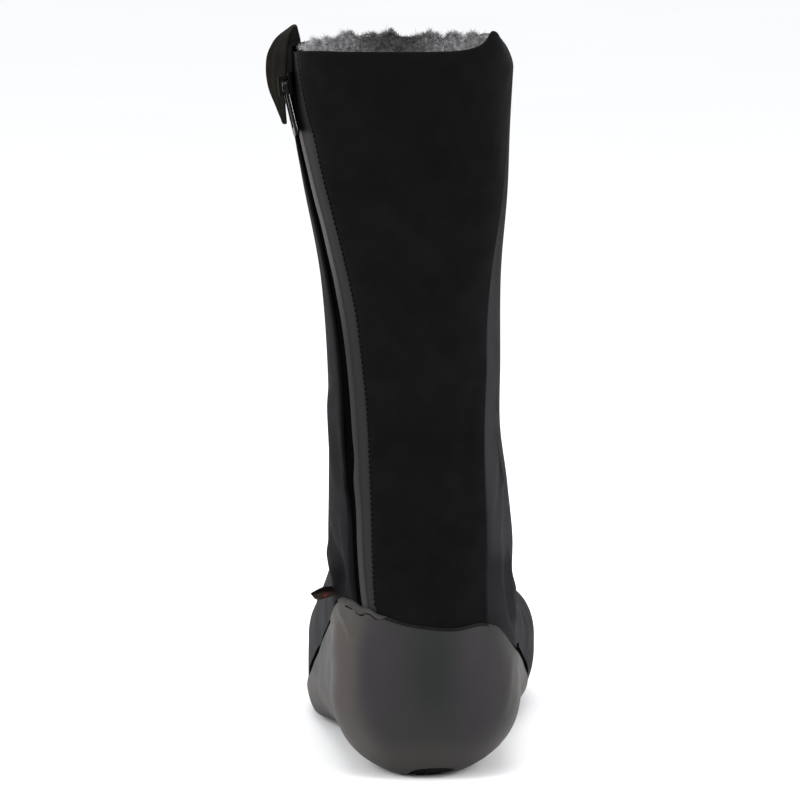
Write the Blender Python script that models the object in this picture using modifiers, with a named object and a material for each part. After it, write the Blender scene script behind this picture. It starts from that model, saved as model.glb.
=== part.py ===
"""Winter overshoe for cycling, left foot: a softshell sock with a side zip, a heel cover and a sole panel.

Sizes and tables are in millimetres and the meshes are in metres. The toe points along +Y, the medial side is
+X, and the origin lies on the floor under the middle of the heel.
"""
import math

import bmesh
import bpy
import numpy as np
from mathutils import Matrix, Vector

MM = 0.001

# Driving sizes
LENGTH = 288.0
BALL_WIDTH = 100.0
COLLAR_HEIGHT = 304.0
WALL = 2.4
GAP = 0.3
SOLE_THICKNESS = 2.0
COVER_THICKNESS = 0.8
COVER_GAP = 0.4

# Sizes that the sections are drawn at, stretched to the driving sizes
DRAWN_LENGTH = 288.0
DRAWN_BALL_WIDTH = 100.0
DRAWN_COLLAR = 304.0
HEEL_CENTRE = 42.0

# Level sections of the upper: distances along the foot run from the heel's back, widths from the centre
SECTION_COLUMNS = (
    "height", "back", "heel", "ball", "front", "centre",
    "heel_lateral", "heel_medial", "ball_lateral", "ball_medial", "back_power", "front_power",
)
SECTIONS = np.array([
    (30, 0, 44, 200, 288, 0, 38.3, 38.8, 53.4, 46.6, 2.1, 2.2),
    (45, 1, 46, 188, 277, 0, 38.3, 38.8, 50.8, 43.8, 2.1, 2.1),
    (60, 4.5, 50, 140, 238, -0.3, 38.4, 38.2, 44.5, 37.0, 2.2, 2.0),
    (78, 9.5, 55, 112, 190, -1.0, 39.2, 37.7, 39.5, 36.0, 2.4, 2.0),
    (95, 13.5, 60, 86, 159, -1.6, 39.5, 38.8, 39.5, 38.6, 2.5, 2.0),
    (115, 17, 64, 74, 141, -2.6, 38.3, 37.8, 38.3, 37.8, 2.6, 2.0),
    (140, 19, 63, 65, 130, -4.4, 36.2, 36.2, 36.2, 36.2, 2.7, 2.0),
    (170, 19, 60, 62, 124.5, -4.8, 36.6, 36.6, 36.6, 36.6, 2.75, 2.0),
    (205, 17, 57, 59, 121.5, -5.8, 37.8, 37.8, 37.8, 37.8, 2.8, 2.0),
    (250, 12, 52, 55, 121, -8.0, 43.6, 43.0, 43.6, 43.0, 2.8, 2.05),
    (272, 10, 51, 55, 122, -8.7, 46.6, 44.7, 46.6, 44.7, 2.75, 2.1),
    (304, 6, 50, 54, 124, -9.2, 46.9, 46.9, 46.9, 46.9, 2.7, 2.1),
], float)

# Underside: how far heel and toe draw in below TUCK_HEIGHT, the flat share and rounding of each part, the
# waist, and how straight the sides widen from heel to ball
HEEL_TUCK, TOE_TUCK, TUCK_HEIGHT = 20.0, 26.0, 28.0
HEEL_FLAT, HEEL_ROUNDING = 0.2, 31.0
LATERAL_FLAT, LATERAL_ROUNDING = 0.86, 14.0
MEDIAL_FLAT, MEDIAL_ROUNDING = 0.66, 24.0
FOREFOOT_START, FOREFOOT_END = 44.0, 174.0
WAIST_LATERAL, WAIST_MEDIAL = 0.4, 2.6
LATERAL_FLARE, MEDIAL_FLARE = 0.7, 0.3
WAIST_FADE_START, WAIST_FADE = 30.0, 40.0
INSTEP_START, INSTEP_END, INSTEP_RISE = 72.0, 167.0, 3.5
SPRING_START, TOE_SPRING = 222.0, 9.0
LIFT_FADE = 70.0
SWING_START, TOE_SWING, SWING_FADE = 150.0, 6.0, 60.0

# Upper: height of the seam to the sole, and the levels and columns of its mesh
FEATHER = 4.5
UPPER_COLUMNS = 56
UPPER_BANDS = ((FEATHER, 30.0, 5), (30.0, 110.0, 12), (110.0, COLLAR_HEIGHT, 11))

# Sole: levels of its turned-up edge, spans across its flat, and the cleat opening
SOLE_LEVELS = (0.0, 0.5, 1.5, 2.8, FEATHER - GAP)
SOLE_SPANS = 4
SOLE_STATIONS = 29
CLEAT_X, CLEAT_Y = -4.0, 153.0
CLEAT_WIDTH, CLEAT_LENGTH, CLEAT_CORNER = 44.0, 62.0, 16.0

# Heel cover: height of its upper edge round the heel, from the medial to the lateral end
COVER_COLUMNS = ("turn", "top")
COVER_EDGE = np.array([
    (-0.310, 7.5),
    (-0.272, 20.0),
    (-0.240, 29.5),
    (-0.160, 44.5),
    (-0.1065, 53.5),
    (-0.0915, 60.5),
    (-0.067, 64.6),
    (-0.024, 63.8),
    (0.012, 65.8),
    (0.050, 70.1),
    (0.075, 73.0),
    (0.100, 73.8),
    (0.115, 70.6),
    (0.130, 65.5),
    (0.178, 55.0),
    (0.197, 49.0),
    (0.220, 36.5),
    (0.246, 27.0),
    (0.286, 15.5),
    (0.306, 8.0),
], float)
COVER_FOOT = FEATHER + GAP
COVER_LEVELS = 11

# Zip: its line round the shaft, its slit and tapes measured from that line, and its teeth
ZIP_COLUMNS = ("height", "turn")
ZIP_LINE = np.array([
    (60, 0.066),
    (100, 0.0804),
    (130, 0.0886),
    (160, 0.0918),
    (185, 0.1005),
    (210, 0.1165),
    (235, 0.1275),
    (255, 0.1385),
    (268, 0.1475),
    (280, 0.1605),
    (304, 0.1860),
], float)
ZIP_FOOT = 67.0
ZIP_STATIONS = 24
SLIT_REAR, SLIT_FRONT = -9.8, 8.0
SLIT_REACH = 3.0
TAPE_THICKNESS, TAPE_SINK = 0.9, 0.4
TEETH_HALF, TEETH_SINK, TEETH_THICKNESS = 0.9, 0.7, 1.2
TEETH_TOP = COLLAR_HEIGHT - 6.0

# Slider and pull tab, in the zip's own frame: across, down the zip, outward
SLIDER_HEIGHT = 287.0
SLIDER_WIDTH, SLIDER_START, SLIDER_END, SLIDER_FLOOR, SLIDER_TOP = 8.4, -6.5, 3.5, 0.1, 1.7
SLIDER_EDGE, EDGE_SEGMENTS = 0.6, 2
CROWN_WIDTH, CROWN_START, CROWN_END, CROWN_TOP = 2.8, -5.0, 2.8, 5.8
ARCH_START, ARCH_END, ARCH_TOP = -3.7, 1.5, 4.6
PIVOT_DOWN, PIVOT_OUT = -2.2, 3.3
TAB_WIDTH, TAB_LENGTH, TAB_THICKNESS, TAB_CORNER = 6.2, 23.5, 1.3, 2.4
TAB_BAR, TAB_LEAN = 1.3, 7.5
WINDOW_WIDTH, WINDOW_LENGTH, WINDOW_CORNER = 3.6, 18.6, 1.2

# Zip guard: stand-off of its two edges from the shaft, from its sewn end inside over the fold to its tip
GUARD_COLUMNS = ("height", "rear_off", "front_off", "rear_across", "front_across")
GUARD_FOLDS = np.array([
    (294.0, -3.5, -3.5, 5.2, 17.5),
    (304.0, -3.5, -3.5, 5.2, 17.5),
    (309.2, -2.7, -2.5, 5.2, 17.5),
    (311.8, -1.9, -1.4, 5.2, 17.5),
    (310.0, -0.3, 1.8, 5.2, 17.5),
    (306.0, 1.0, 6.8, 5.2, 17.8),
    (300.0, 1.7, 10.2, 5.2, 18.0),
    (293.0, 2.1, 10.8, 5.2, 17.5),
    (286.0, 2.6, 9.6, 5.2, 16.0),
    (279.0, 3.2, 7.4, 5.6, 13.8),
    (271.0, 3.7, 4.8, 7.0, 11.0),
], float)
GUARD_THICKNESS = 1.5
GUARD_STEPS, GUARD_SPANS = 2, 4

# Side tag: a plain woven tag standing out of the seam over the heel cover
TAG_TURN, TAG_HEIGHT = 0.128, 75.5
TAG_REACH, TAG_WIDTH, TAG_THICKNESS, TAG_CORNER = 9.3, 5.2, 0.9, 0.8

# Mesh: merge distance, angle of a sharp edge, steps for slopes, and steps of a rounded corner
MERGE = 0.005
SHARP_ANGLE = 35.0
TURN_STEP, HEIGHT_STEP = 0.001, 0.2
ACROSS_STEPS = 6
ZIP_CHORD = 14.0
CUT_DEPTH = 40.0
CORNER_STEPS = 5
STRIP_COLUMNS = 3

# Colours as linear red, green and blue, with roughness and metallic
FINISHES = {
    "softshell": ((0.008, 0.008, 0.009), 0.8, 0.0),
    "sole_fabric": ((0.006, 0.006, 0.006), 0.7, 0.0),
    "reflective": ((0.06, 0.06, 0.06), 0.5, 0.0),
    "zip_tape": ((0.07, 0.07, 0.075), 0.6, 0.0),
    "zip_teeth": ((0.006, 0.006, 0.006), 0.5, 0.0),
    "slider_metal": ((0.03, 0.03, 0.03), 0.4, 1.0),
    "tab_metal": ((0.6, 0.6, 0.6), 0.3, 1.0),
    "guard_fabric": ((0.018, 0.017, 0.013), 0.85, 0.0),
    "tag_weave": ((0.06, 0.012, 0.012), 0.85, 0.0),
}


# Curves and the surface of the upper

def ease(share):
    share = np.clip(share, 0.0, 1.0)
    return share * share * (3.0 - 2.0 * share)


def smooth(x, knots, values):
    """Cubic through the values at the knots, level at the first knot and held past both ends."""
    slopes = np.gradient(values, knots)
    slopes[0] = 0.0
    x = np.clip(x, knots[0], knots[-1])
    i = np.clip(np.searchsorted(knots, x) - 1, 0, len(knots) - 2)
    span = knots[i + 1] - knots[i]
    t = (x - knots[i]) / span
    near = (1 + 2 * t) * (1 - t) ** 2 * values[i] + t * (1 - t) ** 2 * span * slopes[i]
    far = t * t * (3 - 2 * t) * values[i + 1] + t * t * (t - 1) * span * slopes[i + 1]
    return near + far


def lookup(x, columns, table, name):
    """Smooth value of a table's named column, where x runs along its first column."""
    return smooth(x, table[:, 0], table[:, columns.index(name)])


def close_off(share, power):
    """Half-width of a rounded end, from 0 at its tip to 1 where the full width begins."""
    return (1.0 - (1.0 - np.clip(share, 0.0, 1.0)) ** power) ** (1.0 / power)


def rounding(height, reach):
    """Quarter ellipse from 0 at the floor to 1 at the reach."""
    return np.sqrt(1.0 - (1.0 - np.clip(height / reach, 0.0, 1.0)) ** 2)


def surface(turn, height):
    """Outer surface: turn runs from 0 at the heel's back to 0.5 at the toe, lateral side positive."""
    turn, height = np.broadcast_arrays(np.asarray(turn, float), np.asarray(height, float))
    turn = (turn + 0.5) % 1.0 - 0.5
    lateral = turn >= 0.0
    row = {name: lookup(height, SECTION_COLUMNS, SECTIONS, name) for name in SECTION_COLUMNS[1:]}
    drawn_in = 1.0 - rounding(height, TUCK_HEIGHT)
    back = row["back"] + HEEL_TUCK * drawn_in
    front = row["front"] - TOE_TUCK * drawn_in
    along = back + (front - back) * (1.0 - np.cos(2.0 * np.pi * turn)) / 2.0

    heel_width = np.where(lateral, row["heel_lateral"], row["heel_medial"])
    ball_width = np.where(lateral, row["ball_lateral"], row["ball_medial"])
    to_ball = (along - row["heel"]) / np.maximum(row["ball"] - row["heel"], 1.0)
    waist = np.where(lateral, WAIST_LATERAL, WAIST_MEDIAL) * np.sin(np.pi * np.clip(to_ball, 0.0, 1.0)) ** 2
    flare = np.where(lateral, LATERAL_FLARE, MEDIAL_FLARE)
    widening = ease(to_ball) + flare * (np.clip(to_ball, 0.0, 1.0) - ease(to_ball))
    width = heel_width + (ball_width - heel_width) * widening
    width = width - waist * (1.0 - ease((height - WAIST_FADE_START) / WAIST_FADE))
    width = width * close_off((along - back) / (row["heel"] - back), row["back_power"])
    width = width * close_off((front - along) / (front - row["ball"]), row["front_power"])

    fore = ease((along - FOREFOOT_START) / (FOREFOOT_END - FOREFOOT_START))
    flat = HEEL_FLAT + (np.where(lateral, LATERAL_FLAT, MEDIAL_FLAT) - HEEL_FLAT) * fore
    reach = HEEL_ROUNDING + (np.where(lateral, LATERAL_ROUNDING, MEDIAL_ROUNDING) - HEEL_ROUNDING) * fore
    width = width * (flat + (1.0 - flat) * rounding(height, reach))

    swing = TOE_SWING * ease((along - SWING_START) / (DRAWN_LENGTH - SWING_START))
    swing = swing * (1.0 - ease((height - WAIST_FADE_START) / SWING_FADE))
    spring = TOE_SPRING * np.clip((along - SPRING_START) / (DRAWN_LENGTH - SPRING_START), 0.0, 1.0) ** 2
    instep = np.clip((along - INSTEP_START) / (INSTEP_END - INSTEP_START), 0.0, 1.0)
    arch = INSTEP_RISE * np.sin(np.pi * instep) ** 2
    x = row["centre"] + swing - np.where(lateral, width, -width)
    z = height + (spring + arch) * (1.0 - ease(height / LIFT_FADE))
    return np.stack([
        x * BALL_WIDTH / DRAWN_BALL_WIDTH,
        (along - HEEL_CENTRE) * LENGTH / DRAWN_LENGTH,
        z * COLLAR_HEIGHT / DRAWN_COLLAR,
    ], axis=-1)


def outward(turn, height):
    """Unit normal of the outer surface."""
    around = surface(turn + TURN_STEP, height) - surface(turn - TURN_STEP, height)
    upward = surface(turn, height + HEIGHT_STEP) - surface(turn, height - HEIGHT_STEP)
    normal = np.cross(upward, around)
    return normal / np.linalg.norm(normal, axis=-1, keepdims=True)


def lifted(turn, height, distance):
    """Point at a distance outside the upper's surface."""
    return surface(turn, height) + outward(turn, height) * np.asarray(distance)[..., None]


def zip_turn(height, across=0.0):
    """Turn of the point that lies a distance across from the zip's line, towards the toe if positive."""
    turn = lookup(height, ZIP_COLUMNS, ZIP_LINE, "turn")
    for _ in range(ACROSS_STEPS):
        around = surface(turn + TURN_STEP, height) - surface(turn - TURN_STEP, height)
        speed = np.linalg.norm(around, axis=-1) / (2.0 * TURN_STEP)
        turn = turn + across / ACROSS_STEPS / speed
    return turn


# Blender objects

for old in list(bpy.data.objects):
    bpy.data.objects.remove(old, do_unlink=True)

PARTS = bpy.data.collections.new("overshoe")
CUTTERS = bpy.data.collections.new("cutters")
bpy.context.scene.collection.children.link(PARTS)
bpy.context.scene.collection.children.link(CUTTERS)
ROOT = bpy.data.objects.new("overshoe_root", None)
PARTS.objects.link(ROOT)


def finish(name):
    """Material of a finish, made once."""
    material = bpy.data.materials.get(name)
    if material is None:
        colour, roughness, metallic = FINISHES[name]
        material = bpy.data.materials.new(name)
        material.use_nodes = True
        shader = material.node_tree.nodes["Principled BSDF"]
        shader.inputs["Base Color"].default_value = (*colour, 1.0)
        shader.inputs["Roughness"].default_value = roughness
        shader.inputs["Metallic"].default_value = metallic
    return material


def add_part(name, mesh, finish_name):
    part = bpy.data.objects.new(name, mesh)
    part.data.materials.append(finish(finish_name))
    part.parent = ROOT
    PARTS.objects.link(part)
    mesh.shade_smooth()
    mesh.set_sharp_from_angle(angle=math.radians(SHARP_ANGLE))
    return part


def add_cutter(name, mesh):
    cutter = bpy.data.objects.new(name, mesh)
    cutter.display_type = "WIRE"
    cutter.hide_render = True
    CUTTERS.objects.link(cutter)
    return cutter


def to_data(mesh, name):
    """Blender mesh of a bmesh whose points closer than the merge distance are joined."""
    bmesh.ops.remove_doubles(mesh, verts=mesh.verts, dist=MERGE * MM)
    data = bpy.data.meshes.new(name)
    mesh.to_mesh(data)
    mesh.free()
    return data


def add_points(mesh, points):
    return [[mesh.verts.new(Vector(point) * MM) for point in row] for row in points]


def sheet_mesh(name, points):
    """Open sheet through rows of points."""
    mesh = bmesh.new()
    verts = add_points(mesh, points)
    for low, high in zip(verts, verts[1:]):
        for j in range(len(low) - 1):
            mesh.faces.new((low[j], high[j], high[j + 1], low[j + 1]))
    return to_data(mesh, name)


def shell_mesh(name, outer, inner, ring=False, ends=True):
    """Wall between two grids of points: a ring joins its last column to its first, ends closes its end rows."""
    mesh = bmesh.new()
    rows, columns = outer.shape[:2]
    out, back = add_points(mesh, outer), add_points(mesh, inner)
    spans = [(j, (j + 1) % columns) for j in range(columns if ring else columns - 1)]
    for i in range(rows - 1):
        for j, k in spans:
            mesh.faces.new((out[i][j], out[i + 1][j], out[i + 1][k], out[i][k]))
            mesh.faces.new((back[i][j], back[i][k], back[i + 1][k], back[i + 1][j]))
        if not ring:
            mesh.faces.new((out[i][0], back[i][0], back[i + 1][0], out[i + 1][0]))
            mesh.faces.new((out[i][-1], out[i + 1][-1], back[i + 1][-1], back[i][-1]))
    if ends:
        for j, k in spans:
            mesh.faces.new((out[0][j], out[0][k], back[0][k], back[0][j]))
            mesh.faces.new((out[-1][j], back[-1][j], back[-1][k], out[-1][k]))
    bmesh.ops.triangulate(mesh, faces=mesh.faces)
    return to_data(mesh, name)


def wall_mesh(name, turns, heights, outside, thickness, ring=False):
    """Wall of a thickness whose outer face lies a distance outside the upper's surface."""
    turns, heights = np.broadcast_arrays(turns, heights)
    outer, inner = lifted(turns, heights, outside), lifted(turns, heights, outside - thickness)
    return shell_mesh(name, outer, inner, ring=ring)


def combine(part, other, operation):
    boolean = part.modifiers.new(other.name, "BOOLEAN")
    boolean.object = other
    boolean.operation = operation
    boolean.solver = "EXACT"


def box_mesh(name, low, high):
    """Box between two corners."""
    mesh = bmesh.new()
    bmesh.ops.create_cube(mesh, size=1.0)
    size = Vector(high) - Vector(low)
    bmesh.ops.scale(mesh, vec=size * MM, verts=mesh.verts)
    bmesh.ops.translate(mesh, vec=(Vector(low) + Vector(high)) / 2.0 * MM, verts=mesh.verts)
    return to_data(mesh, name)


def rounded_outline(centre, width, length, corner):
    """Corner points of a rounded rectangle, anticlockwise."""
    points = []
    for quarter in range(4):
        sx = (1, -1, -1, 1)[quarter]
        sy = (1, 1, -1, -1)[quarter]
        for step in range(CORNER_STEPS + 1):
            angle = math.pi / 2.0 * (quarter + step / CORNER_STEPS)
            x = centre[0] + sx * (width / 2.0 - corner) + corner * math.cos(angle)
            y = centre[1] + sy * (length / 2.0 - corner) + corner * math.sin(angle)
            points.append((x, y))
    return points


def plate_mesh(name, outlines, thickness):
    """Flat plate from closed outlines, the first its edge and the others its holes, centred on its plane."""
    curve = bpy.data.curves.new(name, "CURVE")
    curve.dimensions = "2D"
    curve.fill_mode = "BOTH"
    curve.extrude = thickness / 2.0 * MM
    for outline in outlines:
        spline = curve.splines.new("POLY")
        spline.points.add(len(outline) - 1)
        spline.use_cyclic_u = True
        for point, (x, y) in zip(spline.points, outline):
            point.co = (x * MM, y * MM, 0.0, 1.0)
    holder = bpy.data.objects.new(name + "_outline", curve)
    data = bpy.data.meshes.new_from_object(holder)
    bpy.data.objects.remove(holder)
    mesh = bmesh.new()
    mesh.from_mesh(data)
    bmesh.ops.remove_doubles(mesh, verts=mesh.verts, dist=MERGE * MM)
    bmesh.ops.recalc_face_normals(mesh, faces=mesh.faces)
    return to_data(mesh, name)


def zip_frame(height):
    """Frame on the zip's line: x across towards the toe, y down the zip, z outward."""
    turn = zip_turn(height)
    origin = Vector(surface(turn, height))
    down = (Vector(surface(zip_turn(height - ZIP_CHORD), height - ZIP_CHORD)) - origin).normalized()
    across = down.cross(Vector(outward(turn, height))).normalized()
    axes = Matrix((across, down, across.cross(down))).transposed()
    return Matrix.Translation(origin * MM) @ axes.to_4x4()


def zip_strip(name, rear, front, heights, outside, thickness):
    """Wall along the zip between two distances across from its line."""
    turns = np.stack([zip_turn(heights, across) for across in np.linspace(rear, front, STRIP_COLUMNS)], axis=1)
    return wall_mesh(name, turns, heights[:, None], outside, thickness)


# Upper, with the slit for the zip

levels = [np.linspace(low, high, count, endpoint=False) for low, high, count in UPPER_BANDS]
levels = np.append(np.concatenate(levels), COLLAR_HEIGHT)
turns = np.linspace(-0.5, 0.5, UPPER_COLUMNS, endpoint=False)
upper = add_part("upper", wall_mesh("upper", turns[None, :], levels[:, None], 0.0, WALL, ring=True), "softshell")

zip_levels = np.linspace(ZIP_FOOT + GAP, COLLAR_HEIGHT - GAP, ZIP_STATIONS)
slit_levels = np.concatenate(([ZIP_FOOT], zip_levels, [COLLAR_HEIGHT + SLIT_REACH]))
slit = zip_strip("zip_slit", SLIT_REAR, SLIT_FRONT, slit_levels, SLIT_REACH, WALL + 2.0 * SLIT_REACH)
combine(upper, add_cutter("zip_slit", slit), "DIFFERENCE")

# Sole, a shallow panel whose edge turns up to the seam

stations = np.linspace(0.0, 0.5, SOLE_STATIONS)
below, above = [], []
for level in reversed(SOLE_LEVELS):
    below.append(surface(stations, level))
    above.append(lifted(stations, np.full(SOLE_STATIONS, level), -SOLE_THICKNESS))
for level in SOLE_LEVELS:
    below.append(surface(-stations, level))
    above.append(lifted(-stations, np.full(SOLE_STATIONS, level), -SOLE_THICKNESS))
edge_count = len(SOLE_LEVELS)
for grid in (below, above):
    flat_start, flat_end = grid[edge_count - 1], grid[edge_count]
    grid[edge_count:edge_count] = [
        flat_start + (flat_end - flat_start) * k / SOLE_SPANS for k in range(1, SOLE_SPANS)
    ]
sole_mesh = shell_mesh("sole", np.stack(below, axis=1), np.stack(above, axis=1), ends=False)
sole = add_part("sole", sole_mesh, "sole_fabric")

opening = rounded_outline((CLEAT_X, CLEAT_Y), CLEAT_WIDTH, CLEAT_LENGTH, CLEAT_CORNER)
combine(sole, add_cutter("cleat_opening", plate_mesh("cleat_opening", [opening], CUT_DEPTH)), "DIFFERENCE")

# Heel cover, a wall standing off the upper by its gap, on the upper's own columns

stations = turns[(turns > COVER_EDGE[0, 0]) & (turns < COVER_EDGE[-1, 0])]
tops = lookup(stations, COVER_COLUMNS, COVER_EDGE, "top")
shares = np.linspace(0.0, 1.0, COVER_LEVELS)[:, None]
heights = COVER_FOOT + (tops - COVER_FOOT)[None, :] * shares
cover = wall_mesh("heel_cover", stations[None, :], heights, COVER_GAP + COVER_THICKNESS, COVER_THICKNESS)
add_part("heel_cover", cover, "reflective")

# Zip tapes and teeth, set in the slit

tape_inner = TEETH_HALF + GAP
for name, rear, front in (
    ("zip_tape_rear", SLIT_REAR + GAP, -tape_inner),
    ("zip_tape_front", tape_inner, SLIT_FRONT - GAP),
):
    tape = zip_strip(name, rear, front, zip_levels, -TAPE_SINK, TAPE_THICKNESS)
    add_part(name, tape, "zip_tape")
teeth_levels = zip_levels[zip_levels < TEETH_TOP]
teeth = zip_strip("zip_teeth", -TEETH_HALF, TEETH_HALF, teeth_levels, -TEETH_SINK, TEETH_THICKNESS)
add_part("zip_teeth", teeth, "zip_teeth")

# Slider: a plate over the teeth with an arched crown that holds the tab's bar

frame = zip_frame(SLIDER_HEIGHT)
half_width = SLIDER_WIDTH / 2.0
plate_low = (-half_width, SLIDER_START, SLIDER_FLOOR)
plate_high = (half_width, SLIDER_END, SLIDER_TOP)
plate = box_mesh("zip_slider", plate_low, plate_high)
slider = add_part("zip_slider", plate, "slider_metal")
slider.matrix_world = frame
edge = slider.modifiers.new("rounding", "BEVEL")
edge.width = SLIDER_EDGE * MM
edge.segments = EDGE_SEGMENTS

crown_low = (-CROWN_WIDTH / 2.0, CROWN_START, SLIDER_TOP - SLIDER_EDGE)
crown_high = (CROWN_WIDTH / 2.0, CROWN_END, CROWN_TOP)
crown = add_cutter("slider_crown", box_mesh("slider_crown", crown_low, crown_high))
crown.matrix_world = frame
arch_low = (-CROWN_WIDTH, ARCH_START, SLIDER_TOP)
arch_high = (CROWN_WIDTH, ARCH_END, ARCH_TOP)
arch = add_cutter("slider_arch", box_mesh("slider_arch", arch_low, arch_high))
arch.matrix_world = frame
combine(slider, crown, "UNION")
combine(slider, arch, "DIFFERENCE")

# Pull tab: a plate whose bar lies under the crown, with its origin on the bar's axis, leaning on the zip

outline = rounded_outline((0.0, TAB_LENGTH / 2.0 - TAB_BAR / 2.0), TAB_WIDTH, TAB_LENGTH, TAB_CORNER)
window = rounded_outline((0.0, TAB_BAR / 2.0 + WINDOW_LENGTH / 2.0), WINDOW_WIDTH, WINDOW_LENGTH, WINDOW_CORNER)
tab = add_part("zip_pull_tab", plate_mesh("zip_pull_tab", [outline, window], TAB_THICKNESS), "tab_metal")
pivot = Matrix.Translation(Vector((0.0, PIVOT_DOWN, PIVOT_OUT)) * MM)
tab.matrix_world = frame @ pivot @ Matrix.Rotation(-math.radians(TAB_LEAN), 4, "X")

# Zip guard, folded over the collar beside the end of the zip

folds = np.arange(len(GUARD_FOLDS), dtype=float)
steps = np.linspace(0.0, folds[-1], GUARD_STEPS * (len(folds) - 1) + 1)
guard = {name: smooth(steps, folds, GUARD_FOLDS[:, k]) for k, name in enumerate(GUARD_COLUMNS)}
guard_points = []
for share in np.linspace(0.0, 1.0, GUARD_SPANS + 1):
    across = guard["rear_across"] + (guard["front_across"] - guard["rear_across"]) * share
    off = guard["rear_off"] + (guard["front_off"] - guard["rear_off"]) * share
    heights = guard["height"]
    guard_points.append(lifted(zip_turn(heights, across), heights, off))
zip_guard = add_part("zip_guard", sheet_mesh("zip_guard", np.stack(guard_points, axis=1)), "guard_fabric")
fabric = zip_guard.modifiers.new("thickness", "SOLIDIFY")
fabric.thickness = GUARD_THICKNESS * MM
fabric.offset = 0.0
fabric.use_even_offset = True

# Side tag, standing straight out of its seam

tag_outline = rounded_outline((GAP + TAG_REACH / 2.0, 0.0), TAG_REACH, TAG_WIDTH, TAG_CORNER)
tag = add_part("side_tag", plate_mesh("side_tag", [tag_outline], TAG_THICKNESS), "tag_weave")
tag_out = Vector(outward(TAG_TURN, TAG_HEIGHT))
tag_side = Vector((0.0, 0.0, 1.0)).cross(tag_out).normalized()
tag_axes = Matrix((tag_out, tag_side.cross(tag_out) * -1.0, tag_side)).transposed()
tag.matrix_world = Matrix.Translation(Vector(surface(TAG_TURN, TAG_HEIGHT)) * MM) @ tag_axes.to_4x4()
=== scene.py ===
"""Winter overshoe for cycling, left foot: cloth, lining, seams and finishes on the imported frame.

Sizes and tables are in millimetres and the meshes are in metres. The toe points along +Y, the medial side is
+X, and the origin lies on the floor under the middle of the heel. A turn runs round the shoe, from 0 at the
heel's back to 0.5 at the toe, lateral side positive.
"""
import itertools
import math

import bmesh
import bpy
import numpy as np
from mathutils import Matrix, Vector


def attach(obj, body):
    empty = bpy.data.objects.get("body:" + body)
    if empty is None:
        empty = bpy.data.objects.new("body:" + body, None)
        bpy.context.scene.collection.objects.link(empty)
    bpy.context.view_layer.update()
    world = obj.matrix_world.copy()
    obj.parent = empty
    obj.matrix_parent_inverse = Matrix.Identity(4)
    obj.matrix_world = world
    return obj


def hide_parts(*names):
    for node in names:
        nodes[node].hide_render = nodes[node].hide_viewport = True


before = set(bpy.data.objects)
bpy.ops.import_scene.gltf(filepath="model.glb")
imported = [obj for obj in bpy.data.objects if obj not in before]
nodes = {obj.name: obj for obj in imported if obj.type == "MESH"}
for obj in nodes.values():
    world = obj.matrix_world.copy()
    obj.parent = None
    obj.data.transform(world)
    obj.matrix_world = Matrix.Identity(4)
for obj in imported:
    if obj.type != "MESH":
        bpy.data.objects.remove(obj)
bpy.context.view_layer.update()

MM = 0.001
SHOE, PULL = "overshoe", "zip_pull"

# Level sections of the upper: distances along the foot run from the heel's back, widths from the centre
SECTION_COLUMNS = (
    "height", "back", "heel", "ball", "front", "centre",
    "heel_lateral", "heel_medial", "ball_lateral", "ball_medial", "back_power", "front_power",
)
SECTIONS = np.array([
    (30, 0, 44, 200, 288, 0, 38.3, 38.8, 53.4, 46.6, 2.1, 2.2),
    (45, 1, 46, 188, 277, 0, 38.3, 38.8, 50.8, 43.8, 2.1, 2.1),
    (60, 4.5, 50, 140, 238, -0.3, 38.4, 38.2, 44.5, 37.0, 2.2, 2.0),
    (78, 9.5, 55, 112, 190, -1.0, 39.2, 37.7, 39.5, 36.0, 2.4, 2.0),
    (95, 13.5, 60, 86, 159, -1.6, 39.5, 38.8, 39.5, 38.6, 2.5, 2.0),
    (115, 17, 64, 74, 141, -2.6, 38.3, 37.8, 38.3, 37.8, 2.6, 2.0),
    (140, 19, 63, 65, 130, -4.4, 36.2, 36.2, 36.2, 36.2, 2.7, 2.0),
    (170, 19, 60, 62, 124.5, -4.8, 36.6, 36.6, 36.6, 36.6, 2.75, 2.0),
    (205, 17, 57, 59, 121.5, -5.8, 37.8, 37.8, 37.8, 37.8, 2.8, 2.0),
    (250, 12, 52, 55, 121, -8.0, 43.6, 43.0, 43.6, 43.0, 2.8, 2.05),
    (272, 10, 51, 55, 122, -8.7, 46.6, 44.7, 46.6, 44.7, 2.75, 2.1),
    (304, 6, 50, 54, 124, -9.2, 46.9, 46.9, 46.9, 46.9, 2.7, 2.1),
])
LENGTH = 288.0
HEEL_CENTRE = 42.0
COLLAR_HEIGHT = 304.0

# Underside: how far heel and toe draw in below TUCK_HEIGHT, the flat share and rounding of each part, the
# waist, and how straight the sides widen from heel to ball
HEEL_TUCK, TOE_TUCK, TUCK_HEIGHT = 20.0, 26.0, 28.0
HEEL_FLAT, HEEL_ROUNDING = 0.2, 31.0
LATERAL_FLAT, LATERAL_ROUNDING = 0.86, 14.0
MEDIAL_FLAT, MEDIAL_ROUNDING = 0.66, 24.0
FOREFOOT_START, FOREFOOT_END = 44.0, 174.0
WAIST_LATERAL, WAIST_MEDIAL = 0.4, 2.6
LATERAL_FLARE, MEDIAL_FLARE = 0.7, 0.3
WAIST_FADE_START, WAIST_FADE = 30.0, 40.0
INSTEP_START, INSTEP_END, INSTEP_RISE = 72.0, 167.0, 3.5
SPRING_START, TOE_SPRING = 222.0, 9.0
LIFT_FADE = 70.0
SWING_START, TOE_SWING, SWING_FADE = 150.0, 6.0, 60.0
TURN_STEP, HEIGHT_STEP, ACROSS_STEPS = 0.001, 0.2, 6

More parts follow.
